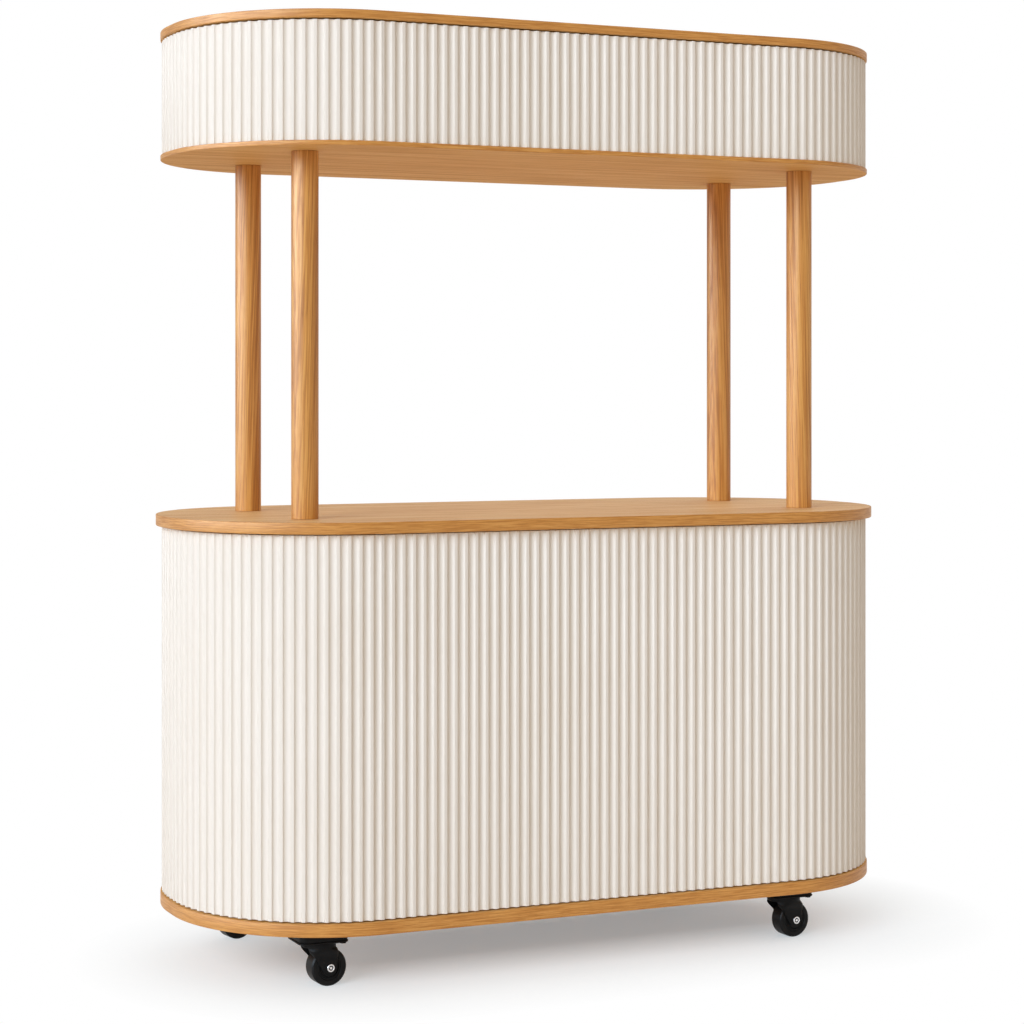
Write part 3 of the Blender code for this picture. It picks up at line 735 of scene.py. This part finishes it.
def fluted_panel_tree():
    """Geometry nodes that run a fluted panel along a line in plan, closed at its edges and its ends."""
    sizes = (*FLUTING, "Thickness", "Low", "High")
    inputs = {"Geometry": ["Line"], "Int": ["Flutes", "Facets"], "Float": sizes, "Material": ["Finish"]}
    net, size, result = new_tree("fluted_panel", "GeometryNodeTree", inputs, {"Geometry": ["Panel"]})

    # A grid of columns along the line and rows round the panel's section
    rows = 7
    facets = net.times(size["Flutes"], size["Facets"])
    columns = net.plus(facets, 3)  # one more than the facets, and one beyond each end
    counts = {"Size X": 1.0, "Size Y": 1.0, "Vertices X": columns, "Vertices Y": rows}
    grid = net.node("GeometryNodeMeshGrid", counts).outputs["Mesh"]
    spot = net.parts(net.output("GeometryNodeInputPosition"))
    along = net.times(net.plus(spot["X"], 0.5), net.plus(facets, 2))
    column = net.math("ROUND", along)
    row = net.math("ROUND", net.times(net.plus(spot["Y"], 0.5), rows - 1))

    # How far along the line a column stands, and how deep the flute is there
    length = net.output("GeometryNodeCurveLength", {"Curve": size["Line"]})
    share = net.math("DIVIDE", net.minus(column, 1), facets)
    share = net.math("MAXIMUM", net.math("MINIMUM", share, 1), 0)
    phase = net.math("FRACT", net.times(share, size["Flutes"]))
    pitch = net.math("DIVIDE", length, size["Flutes"])
    offset = net.times(net.minus(phase, 0.5), pitch)
    half_width = net.times(size["Flute Width"], 0.5)
    depth = size["Flute Depth"]
    squares = net.plus(net.math("POWER", half_width, 2), net.math("POWER", depth, 2))
    radius = net.math("DIVIDE", squares, net.times(depth, 2))
    chord = net.minus(net.math("POWER", radius, 2), net.math("POWER", offset, 2))
    hollow = net.minus(net.math("SQRT", chord), net.minus(radius, depth))
    hollow = net.math("SMOOTH_MAX", hollow, 0, size["Land Ease"])

    # Rows: back low, face low, eased low, eased high, face high, back high, and back low again
    low, high, ease, back = size["Low"], size["High"], size["Edge Ease"], size["Thickness"]
    eased = net.plus(hollow, ease)
    deep = by_row(net, row, (back, eased, hollow, hollow, eased, back, back))
    level = by_row(net, row, (low, low, net.plus(low, ease), net.minus(high, ease), high, high, low))

    # The first and last columns close the panel's ends
    after = net.math("GREATER_THAN", along, net.plus(facets, 1.5))
    beyond = net.plus(net.math("LESS_THAN", column, 0.5), after)
    deep = either(net, beyond, deep, net.times(back, 0.5))
    level = either(net, beyond, level, net.times(net.plus(low, high), 0.5))

    # Bend the grid along the line
    half_seam = net.times(size["Seam"], 0.5)
    run = net.times(share, length)
    run = net.math("MINIMUM", run, net.minus(length, half_seam))
    sampled = {"Curves": size["Line"], "Length": net.math("MAXIMUM", run, half_seam)}
    line = net.node("GeometryNodeSampleCurve", sampled, mode="LENGTH").outputs
    inward = net.node("ShaderNodeVectorMath", {"Scale": deep}, operation="SCALE")
    net.feed(inward.inputs[0], net.vector("CROSS_PRODUCT", (0.0, 0.0, 1.0), line["Tangent"]))
    place = net.vector("ADD", line["Position"], inward.outputs[0])
    place = net.vector("ADD", place, net.joined(Z=level))
    panel = net.output("GeometryNodeSetPosition", {"Geometry": grid, "Position": place})
    panel = net.output("GeometryNodeMergeByDistance", {"Geometry": panel, "Distance": WELD})
    net.feed(result.inputs["Panel"], finished(net, panel, size["Finish"]))
    return net.tree


def finished(net, geometry, finish):
    """Geometry with its instances made real and its material set."""
    real = net.output("GeometryNodeRealizeInstances", {"Geometry": geometry})
    return net.output("GeometryNodeSetMaterial", {"Geometry": real, "Material": finish})


def by_row(net, row, values):
    """The value for a row of the panel's section."""
    switch = net.node("GeometryNodeIndexSwitch", data_type="FLOAT")
    while len(switch.index_switch_items) < len(values):
        switch.index_switch_items.new()
    net.feed(switch.inputs["Index"], row)
    for index, value in enumerate(values):
        net.feed(switch.inputs[str(index)], value)
    return switch.outputs[0]


def either(net, chosen, value, other):
    """A value, or the other one where it is chosen."""
    step = net.times(chosen, net.minus(other, value))
    return net.plus(value, step)


def run_tree(item, tree, values):
    """The mesh that a geometry nodes tree makes on an object, with its inputs set by name."""
    modifier = item.modifiers.new(tree.name, "NODES")
    modifier.node_group = tree
    for socket in tree.interface.items_tree:
        if socket.in_out == "INPUT" and socket.name in values:
            modifier[socket.identifier] = values[socket.name]
    return settled(mesh_of(item))


def panel_line(side, face_y):
    """A panel's face line in plan, with the outside of the cart on its right."""
    radius = face_y - END_FLAT / 2
    if side in ("front", "back"):
        points = [(-TANGENT_X, -face_y), (TANGENT_X, -face_y)]
    else:
        points = quarter_turn(TANGENT_X, -END_FLAT / 2, radius, -pi / 2)
        points += quarter_turn(TANGENT_X, END_FLAT / 2, radius, 0)
    if side in ("back", "left"):
        points = [(-x, -y) for x, y in points]
    return points


def line_curve(name, points):
    """A curve through points in plan, with its length."""
    curve = bpy.data.curves.new(name, "CURVE")
    curve.dimensions = "3D"
    add_line(curve, points, closed=False)
    length = sum(hypot(x - u, y - v) for (x, y), (u, v) in zip(points, points[1:]))
    return curve, length


def fluted_panel(storey, side):
    """One fluted panel of the cabinet or the canopy."""
    node = f"{storey}_{side}_cladding"
    name = f"fluted_{storey}_{side}"
    low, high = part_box(node)
    front_low, front_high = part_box(f"{storey}_front_cladding")
    curve, length = line_curve(name, panel_line(side, -front_low.y))
    values = {
        **FLUTING, "Flutes": round(length / FLUTE_PITCH), "Facets": FLUTE_STEPS, "Finish": CREAM_PAINT,
        "Thickness": front_high.y - front_low.y, "Low": low.z, "High": high.z - PANEL_DROP[storey],
    }
    mesh = run_tree(linked(name, curve), FLUTED_PANEL, values)
    fitted(name, mesh, CREAM_PAINT, "cart", "cream_paint", node)


# Plywood inside

def ply_board(node, material):
    """An eased plywood board over one of the solids."""
    mesh = eased_box(*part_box(node), PLY_EASE)
    fitted(f"ply_{node}", mesh, material, "cart", "plywood", node)


# Casters, each drawn round its swivel axis with the trail along X and the axle along Y

def caster_joints(corner):
    """Where a caster's swivel and axle are, and which way the axle trails."""
    places = {joint["name"]: Vector(joint["pos_m"]) for joint in frame["joints"]}
    swivel, axle = places[f"swivel_{corner}"], places[f"roll_{corner}"]
    return swivel, axle, atan2(axle.y - swivel.y, axle.x - swivel.x)


def riser_pad(corner):
    """Black block between a caster's plate and the base board."""
    node = f"caster_pad_{corner}"
    low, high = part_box(node)
    mesh = flat_board([plate_outline(low, high)], low.z, high.z, PAD_EASE)
    fitted(f"riser_pad_{corner}", mesh, BLACK_PAINT, "cart", "black_paint", node)


def plate_outline(low, high):
    """A plate's rounded rectangle between two corners."""
    corners = ((low.x, low.y), (high.x, low.y), (high.x, high.y), (low.x, high.y))
    return rounded([(x, y, PLATE_CORNER) for x, y in corners])


def swivel_plate(corner):
    """Top plate with its bolt holes, the upper race and the kingpin."""
    node = f"caster_plate_{corner}"
    low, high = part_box(node)
    middle = (low + high) / 2
    outlines = [plate_outline(low, high)]
    outlines += [round_hole(x, y, BOLT_HOLE_RADIUS) for x, y in bolt_places(middle)]
    under = high.z - PLATE_THICKNESS
    plate = flat_board(outlines, under, high.z, PLATE_EASE)
    race_low = under - RACE_HEIGHT
    root = under + PLATE_THICKNESS / 2
    head_top = low.z + KINGPIN_HEAD_HEIGHT
    corners = [(0, root, 0), (RACE_RADIUS, root, 0)]
    corners += [(RACE_RADIUS, race_low, RACE_LIP), (KINGPIN_RADIUS, race_low, 0)]
    corners += [(KINGPIN_RADIUS, head_top, 0), (KINGPIN_HEAD_RADIUS, head_top, 0)]
    corners += [(KINGPIN_HEAD_RADIUS, low.z, KINGPIN_HEAD_EASE), (0, low.z, 0)]
    race = turned(corners, WHEEL_STEPS)
    race.transform(Matrix.Translation((middle.x, middle.y, 0)))
    mesh = combined(plate, ("UNION", race))
    flatten_levels(mesh)
    fitted(f"swivel_plate_{corner}", mesh, BLACK_PAINT, "cart", "black_paint", node)


def bolt_places(middle):
    """Where a plate's bolts are, in plan."""
    half_x, half_y = BOLT_SPREAD[0] / 2, BOLT_SPREAD[1] / 2
    return [(middle.x + x, middle.y + y) for x in (-half_x, half_x) for y in (-half_y, half_y)]


def bolts_tree():
    """Geometry nodes that hang a hexagon bolt with its washer under every point."""
    inputs = {"Geometry": ["Points"], "Float": BOLT, "Material": ["Finish"]}
    net, size, result = new_tree("plate_bolts", "GeometryNodeTree", inputs, {"Geometry": ["Bolts"]})
    washer = hung_disc(net, BORE_STEPS, size["Washer Radius"], size["Washer Height"], 0.0)
    head = hung_disc(net, BOLT_SIDES, size["Head Radius"], size["Head Height"], size["Washer Height"])
    bolt = net.node("GeometryNodeJoinGeometry")
    net.feed(bolt.inputs[0], washer)
    net.feed(bolt.inputs[0], head)
    copies = {"Points": size["Points"], "Instance": bolt.outputs[0]}
    bolts = net.output("GeometryNodeInstanceOnPoints", copies)
    net.feed(result.inputs["Bolts"], finished(net, bolts, size["Finish"]))
    return net.tree


def hung_disc(net, sides, radius, height, drop):
    """A disc or hexagon hanging a drop under its point."""
    inputs = {"Vertices": sides, "Radius": radius, "Depth": height}
    disc = net.node("GeometryNodeMeshCylinder", inputs).outputs["Mesh"]
    middle = net.plus(drop, net.times(height, 0.5))
    down = net.joined(Z=net.times(middle, -1))
    return net.output("GeometryNodeSetPosition", {"Geometry": disc, "Offset": down})


def plate_bolts():
    """Bolts under the caster plates."""
    points = []
    for corner in CORNERS:
        low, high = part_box(f"caster_plate_{corner}")
        under = high.z - PLATE_THICKNESS
        points += [(x, y, under) for x, y in bolt_places((low + high) / 2)]
    mesh = bpy.data.meshes.new("plate_bolts")
    mesh.from_pydata(points, [], [])
    mesh = run_tree(linked("plate_bolts", mesh), PLATE_BOLTS, {**BOLT, "Finish": BLACK_PAINT})
    fitted("plate_bolts", mesh, BLACK_PAINT, "cart", "black_paint")


def fork_side(trail, axle, top):
    """Side view of the fork as (x, z): a round cup over hollowed legs that end in the axle's lug."""
    back = (trail - WAIST_BACK, axle + WAIST_RISE)
    first = atan2(WAIST_RISE, -WAIST_BACK) + acos(LUG_RADIUS / hypot(WAIST_BACK, WAIST_RISE))
    front_rise = CUP_LOW - axle
    front_reach = CUP_RADIUS - trail
    last = atan2(front_rise, front_reach) - acos(LUG_RADIUS / hypot(front_reach, front_rise)) + 2 * pi
    corners = [(-CUP_RADIUS, top, 0), (-CUP_RADIUS, CUP_LOW, CUP_BACK_ROUND), (*back, WAIST_ROUND)]
    for step in range(FORK_RINGS + 1):
        angle = first + (last - first) * step / FORK_RINGS
        corners.append((trail + LUG_RADIUS * cos(angle), axle + LUG_RADIUS * sin(angle), 0))
    corners += [(CUP_RADIUS, CUP_LOW, CUP_FRONT_ROUND), (CUP_RADIUS, top, 0)]
    return rounded(corners, SIDE_STEPS)


def span_at(outline, height):
    """Where a side view starts and ends at a height."""
    crossings = []
    for (x, z), (u, w) in zip(outline, outline[1:] + outline[:1]):
        if min(z, w) <= height <= max(z, w) and z != w:
            crossings.append(x + (u - x) * (height - z) / (w - z))
    return min(crossings), max(crossings)


def fork_body(trail, axle, top):
    """The fork's outer skin: rings that change from the round cup to the flat-sided legs."""
    outline = fork_side(trail, axle, top)
    lowest = axle - LUG_RADIUS
    first, last = RING_REACH
    shape = bmesh.new()
    rings = []
    for index in range(FORK_RINGS + 1):
        share = (1 - cos(pi * index / FORK_RINGS)) / 2
        height = lowest + (top - lowest) * min(max(share, first), last)
        start, end = span_at(outline, height)
        swell = min(max((height - LEG_TOP) / (CUP_LOW - LEG_TOP), 0), 1)
        swell = swell * swell * (3 - 2 * swell)
        half_y = LEG_HALF_WIDTH + (CUP_RADIUS - LEG_HALF_WIDTH) * swell
        power = 2 / (2 + LEG_SQUARENESS * (1 - swell))
        edge = min(1, (top - height) / CUP_EASE)
        pull = CUP_EASE * (1 - edge) ** 2
        ring = []
        for step in range(FORK_STEPS):
            turn = 2 * pi * step / FORK_STEPS
            x = abs(cos(turn)) ** power * (1 if cos(turn) > 0 else -1)
            y = abs(sin(turn)) ** power * (1 if sin(turn) > 0 else -1)
            place = ((start + end) / 2 + x * ((end - start) / 2 - pull), y * (half_y - pull), height)
            ring.append(shape.verts.new(place))
        rings.append(ring)
    for lower, upper in zip(rings, rings[1:]):
        for step in range(FORK_STEPS):
            after = (step + 1) % FORK_STEPS
            shape.faces.new((lower[step], lower[after], upper[after], upper[step]))
    shape.faces.new(rings[0])
    shape.faces.new(rings[-1])
    return settled(mesh_from(shape))


def bore_tool(radius, low, high):
    """A rod about Z that cuts a bore."""
    return turned([(0, high, 0), (radius, high, 0), (radius, low, 0), (0, low, 0)], AXLE_STEPS)


def swivel_fork(corner):
    """Moulded fork: its skin hollowed for the wheel and bored for the kingpin and the axle."""
    node = f"caster_fork_{corner}"
    swivel, axle, _ = caster_joints(corner)
    trail = hypot(axle.x - swivel.x, axle.y - swivel.y)
    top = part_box(node)[1].z
    body = fork_body(trail, axle.z, top)
    room_low = Vector((-2 * CUP_RADIUS, -WHEEL_ROOM, axle.z - 2 * LUG_RADIUS))
    room_high = Vector((3 * CUP_RADIUS, WHEEL_ROOM, WHEEL_ROOM_TOP))
    room = eased_box(room_low, room_high, WHEEL_ROOM_EASE)
    bore = bore_tool(KINGPIN_RADIUS + KINGPIN_GAP, axle.z, top + BORE_PAST)
    pin = bore_tool(AXLE_RADIUS + AXLE_GAP, -AXLE_BORE_HALF, AXLE_BORE_HALF)
    pin.transform(Matrix.Translation((trail, 0, axle.z)) @ Matrix.Rotation(pi / 2, 4, "X"))
    mesh = combined(body, ("DIFFERENCE", room), ("DIFFERENCE", bore), ("DIFFERENCE", pin))
    mesh.transform(caster_place(corner))
    fitted(f"swivel_fork_{corner}", mesh, BLACK_PAINT, f"fork_{corner}", "black_paint", node)


def caster_place(corner):
    """Brings a caster's piece from round its own swivel axis to its corner."""
    swivel, _, turn = caster_joints(corner)
    return Matrix.Translation((swivel.x, swivel.y, 0)) @ Matrix.Rotation(turn, 4, "Z")


def wheel_place(corner):
    """Brings a wheel's piece, turned about Z, to its axle."""
    _, axle, turn = caster_joints(corner)
    return Matrix.Translation(axle) @ Matrix.Rotation(turn, 4, "Z") @ Matrix.Rotation(pi / 2, 4, "X")


def both_faces(half):
    """A half section, listed from its far end to the middle, joined to its mirror image."""
    return [(radius, -height, rounding) for radius, height, rounding in half] + half[::-1]


def axle_pin(corner):
    """Bright axle with a headed, socketed end on both sides."""
    back = LEG_HALF_WIDTH + AXLE_GAP
    end = back + AXLE_HEAD_HEIGHT
    floor = end - SOCKET_DEPTH
    half = [(0, end, 0), (PIP_RADIUS, end, PIP_EASE), (PIP_RADIUS, floor, SOCKET_FLOOR_EASE)]
    half += [(SOCKET_RADIUS, floor, SOCKET_FLOOR_EASE), (SOCKET_RADIUS, end, SOCKET_EASE)]
    half += [(AXLE_HEAD_RADIUS, end, AXLE_HEAD_EASE), (AXLE_HEAD_RADIUS, back, AXLE_HEAD_BACK_EASE)]
    half.append((AXLE_RADIUS, back, 0))
    mesh = turned(both_faces(half), AXLE_STEPS)
    mark_sockets(mesh, floor)
    mesh.transform(wheel_place(corner))
    node = f"caster_axle_{corner}"
    fitted(f"axle_pin_{corner}", mesh, BRIGHT_STEEL, f"fork_{corner}", "bright_steel", node)


def mark_sockets(mesh, floor):
    """Mark the floor of an axle's sockets, which is painted black as shade in the recess."""
    inner, outer = SOCKET_SHADE_RING
    mask = mesh.attributes.new("socket", "FLOAT", "FACE")
    for face in mesh.polygons:
        sunk = LEG_HALF_WIDTH < abs(face.center.z) < floor + SOCKET_SHADE_RISE
        inside = inner < hypot(face.center.x, face.center.y) < outer
        mask.data[face.index].value = float(sunk and inside)


def rolling_piece(kind, corner, half, material, slot):
    """A wheel's piece, turned from its half section and put on its axle."""
    mesh = turned(both_faces(half), WHEEL_STEPS)
    mesh.transform(wheel_place(corner))
    fitted(f"wheel_{kind}_{corner}", mesh, material, f"wheel_{corner}", slot, f"caster_{kind}_{corner}")


def wheel_hub(corner):
    """Moulded hub: a rim, a dished web on both sides and a boss that reaches the legs."""
    boss = WHEEL_ROOM - BOSS_GAP
    half = [(radius, HUB_HALF - depth, rounding) for radius, depth, rounding in HUB_RIM_AND_WEB]
    half += [(radius, boss - depth, rounding) for radius, depth, rounding in BOSS]
    half.append((AXLE_RADIUS + AXLE_GAP, boss, 0))
    rolling_piece("hub", corner, half, BLACK_PLASTIC, "black_plastic")


def wheel_tyre(corner):
    """Tyre with rounded shoulders and a bead line where it grips the hub."""
    seat = HUB_RADIUS + TYRE_GAP
    half = [(TREAD_RADIUS, TYRE_HALF - TYRE_SHOULDER, TYRE_EASE)]
    half.append((TREAD_RADIUS - TYRE_SHOULDER, TYRE_HALF, TYRE_EASE))
    half += [(seat + rise, TYRE_HALF - depth, rounding) for rise, depth, rounding in BEAD]
    half.append((seat, HUB_HALF - SEAT_STEP, 0))
    rolling_piece("tyre", corner, half, TYRE_RUBBER, "tyre")


# Floor, light and camera

WHITE = (1.0, 1.0, 1.0)
FLOOR_SIZE = 60.0
FLOOR_COLOUR = (0.83, 0.78, 0.75)
FLOOR_BOUNCE = (0.9, 0.81, 0.7)  # light that the floor throws back on the cart
FLOOR_LIFT = (0.184, 0.239, 0.264)  # light that the camera sees in the floor over its own shading
FADE_START = -0.26  # the floor turns plain white from here to there, measured out from the base's edge
FADE_END = 0.24
FADE_SHIFT = 0.06  # the shadow falls to the right
MIRRORED_WHITE = 0.5  # share of the white surroundings that reflections see
SKY_LIGHT = 0.42
SKY_COLOUR = (1.0, 0.865, 0.725)
LAMP_COLOUR = (0.726, 0.853, 1.0)
LAMPS = {  # strength, spread in degrees, the side it shines from, and whether it lights and shows in gloss
    "key": (2.64, 40, (-0.783, -0.508, 0.358), True, True),
    "left_side": (0.25, 40, (-0.924, 0.248, 0.29), True, True),
    "left_gloss": (5.6, 60, (-0.97, 0.15, 0.15), False, True),
    "right_fill": (1.5, 50, (0.8, 0.5, 0.3), True, False),
}
CAMERA_PLACE = (-2.3395, -4.8759, 1.235)
CAMERA_TURN = radians(-23.38)
CAMERA_LENS = 84.375
CAMERA_SHIFT = (0.0801, -0.1225)


def seen_rays(net):
    """One for rays that show the background to the camera, and a share of that for reflections."""
    path = net.node("ShaderNodeLightPath").outputs
    mirrored = net.times(path["Is Glossy Ray"], MIRRORED_WHITE)
    return net.math("MAXIMUM", path["Is Camera Ray"], mirrored)


def studio_floor():
    """Pale floor that keeps the cart's shadow and fades to plain white further out."""
    shape = bmesh.new()
    bmesh.ops.create_grid(shape, x_segments=1, y_segments=1, size=FLOOR_SIZE / 2)
    mesh = mesh_from(shape)
    material, net, shader = new_material("studio_floor")
    part = net.parts(net.place())
    aside = net.math("ABSOLUTE", net.minus(part["X"], FADE_SHIFT))
    beyond = net.math("MAXIMUM", net.minus(aside, TANGENT_X), 0.0)
    square = net.math("MULTIPLY_ADD", beyond, beyond, net.times(part["Y"], part["Y"]))
    away = net.minus(net.math("SQRT", square), BASE_HIGH.y)
    seen = seen_rays(net)
    share = net.times(net.span(away, FADE_START, FADE_END), seen)
    tint = net.blend(seen, FLOOR_BOUNCE, FLOOR_COLOUR)
    paper = net.output("ShaderNodeBsdfDiffuse", {"Color": tint})
    lift = net.output("ShaderNodeEmission", {"Color": FLOOR_LIFT, "Strength": seen})
    white = net.output("ShaderNodeEmission", {"Color": WHITE, "Strength": 1.0})
    lifted = net.in_turn("ShaderNodeAddShader", paper, lift)
    mixed = net.in_turn("ShaderNodeMixShader", share, lifted, white)
    net.tree.nodes.remove(shader)
    net.fill(net.tree.nodes["Material Output"], {"Surface": mixed})
    mesh.materials.append(material)
    linked("studio_floor", mesh)


def studio_light():
    """White surroundings and the lamps: broad and soft from the front left, weaker at both sides."""
    world = bpy.data.worlds.new("studio")
    bpy.context.scene.world = world
    world.use_nodes = True
    net = Net(world.node_tree)
    seen = seen_rays(net)
    sky = {"Color": net.blend(seen, SKY_COLOUR, WHITE), "Strength": net.span(seen, 0, 1, SKY_LIGHT, 1.0)}
    net.fill(net.tree.nodes["Background"], sky)
    for name, (strength, spread, side, lights, glosses) in LAMPS.items():
        lamp = bpy.data.lights.new(name, "SUN")
        lamp.energy = strength
        lamp.color = LAMP_COLOUR
        lamp.angle = radians(spread)
        item = linked(name, lamp)
        item.rotation_euler = Vector(side).to_track_quat("Z", "Y").to_euler()
        item.visible_diffuse = lights
        item.visible_glossy = glosses


def studio_camera():
    """Level camera at the photograph's angle."""
    camera = bpy.data.cameras.new("camera")
    camera.lens = CAMERA_LENS
    camera.shift_x, camera.shift_y = CAMERA_SHIFT
    item = linked("camera", camera)
    item.location = CAMERA_PLACE
    item.rotation_euler = (pi / 2, 0, CAMERA_TURN)
    bpy.context.scene.camera = item


OAK_FIGURE = oak_figure_group()
UNEVENNESS = unevenness_group()
# the worktop's top in tones with a painted sheen
SATIN_OAK = board_oak("satin_oak", FACE_GRAIN, SHEEN_TOP_TONES, banding=0.5, smoothest=0.42, specular=0.2)
MATT_OAK = board_oak("matt_oak", FACE_GRAIN, FACE_TONES, banding=0.5, smoothest=0.58, specular=0.12)
EDGE_OAK = board_oak("edge_oak", EDGE_GRAIN, EDGE_TONES, banding=0.0, smoothest=0.36, specular=0.6)
POST_OAK = post_oak()
CREAM_PAINT = cream_paint()
PLY_STANDING_X = plywood("ply_standing_across", (0, pi / 2, 0))
PLY_STANDING_Y = plywood("ply_standing_along", (pi / 2, 0, pi / 2))
PLY_LEVEL = plywood("ply_level", (0, 0, 0))
BLACK_PAINT = coated(
    "black_paint", BLACK, BLACK_WORN, rough=(0.4, 0.5), scales=(30.0, 900.0), specular=0.12
)
BLACK_PLASTIC = coated(
    "black_plastic", BLACK, BLACK_WORN, rough=(0.46, 0.58), scales=(40.0, 1300.0), specular=0.16
)
TYRE_RUBBER = coated(
    "tyre_rubber", RUBBER, RUBBER_DUSTY, rough=(0.3, 0.42), scales=(60.0, 1600.0), specular=0.14
)
BRIGHT_STEEL = bare_metal("bright_steel", STEEL, STEEL_DULL, rough=(0.2, 0.3), scales=(160.0, 2600.0))
ZINC_STEEL = bare_metal("zinc_steel", ZINC, ZINC_DULL, rough=(0.32, 0.46), scales=(120.0, 2200.0))
FLUTED_PANEL = fluted_panel_tree()
PLATE_BOLTS = bolts_tree()

oak_board("base_board", "oak_base", MATT_OAK, BOARD_EASE, drilled=False)
oak_board("worktop", "oak_worktop", SATIN_OAK, BOARD_EASE, drilled=True)
oak_board("canopy_floor", "oak_canopy_floor", MATT_OAK, CANOPY_FLOOR_EASE, drilled=True)
oak_board("canopy_roof", "oak_roof", MATT_OAK, BOARD_EASE, drilled=False)
for storey, sides in CLADDING.items():
    for side in sides:
        fluted_panel(storey, side)
for node in ("left_upright", "right_upright", "centre_divider"):
    ply_board(node, PLY_STANDING_X)
for node in ("left_shelf", "right_shelf"):
    ply_board(node, PLY_LEVEL)
ply_board("front_lining", PLY_STANDING_Y)
for side in ("left", "right"):
    dress(f"{side}_end_rib", PLY_LEVEL)
    dress(f"canopy_{side}_rib", PLY_STANDING_X)
for corner in CORNERS:
    oak_post(corner)
    dress(f"post_rod_{corner}", ZINC_STEEL)
    dress(f"post_nut_{corner}", ZINC_STEEL)
    riser_pad(corner)
    swivel_plate(corner)
    swivel_fork(corner)
    axle_pin(corner)
    wheel_hub(corner)
    wheel_tyre(corner)
plate_bolts()
studio_floor()
studio_light()
studio_camera()
bpy.context.scene.view_settings.view_transform = "Standard"
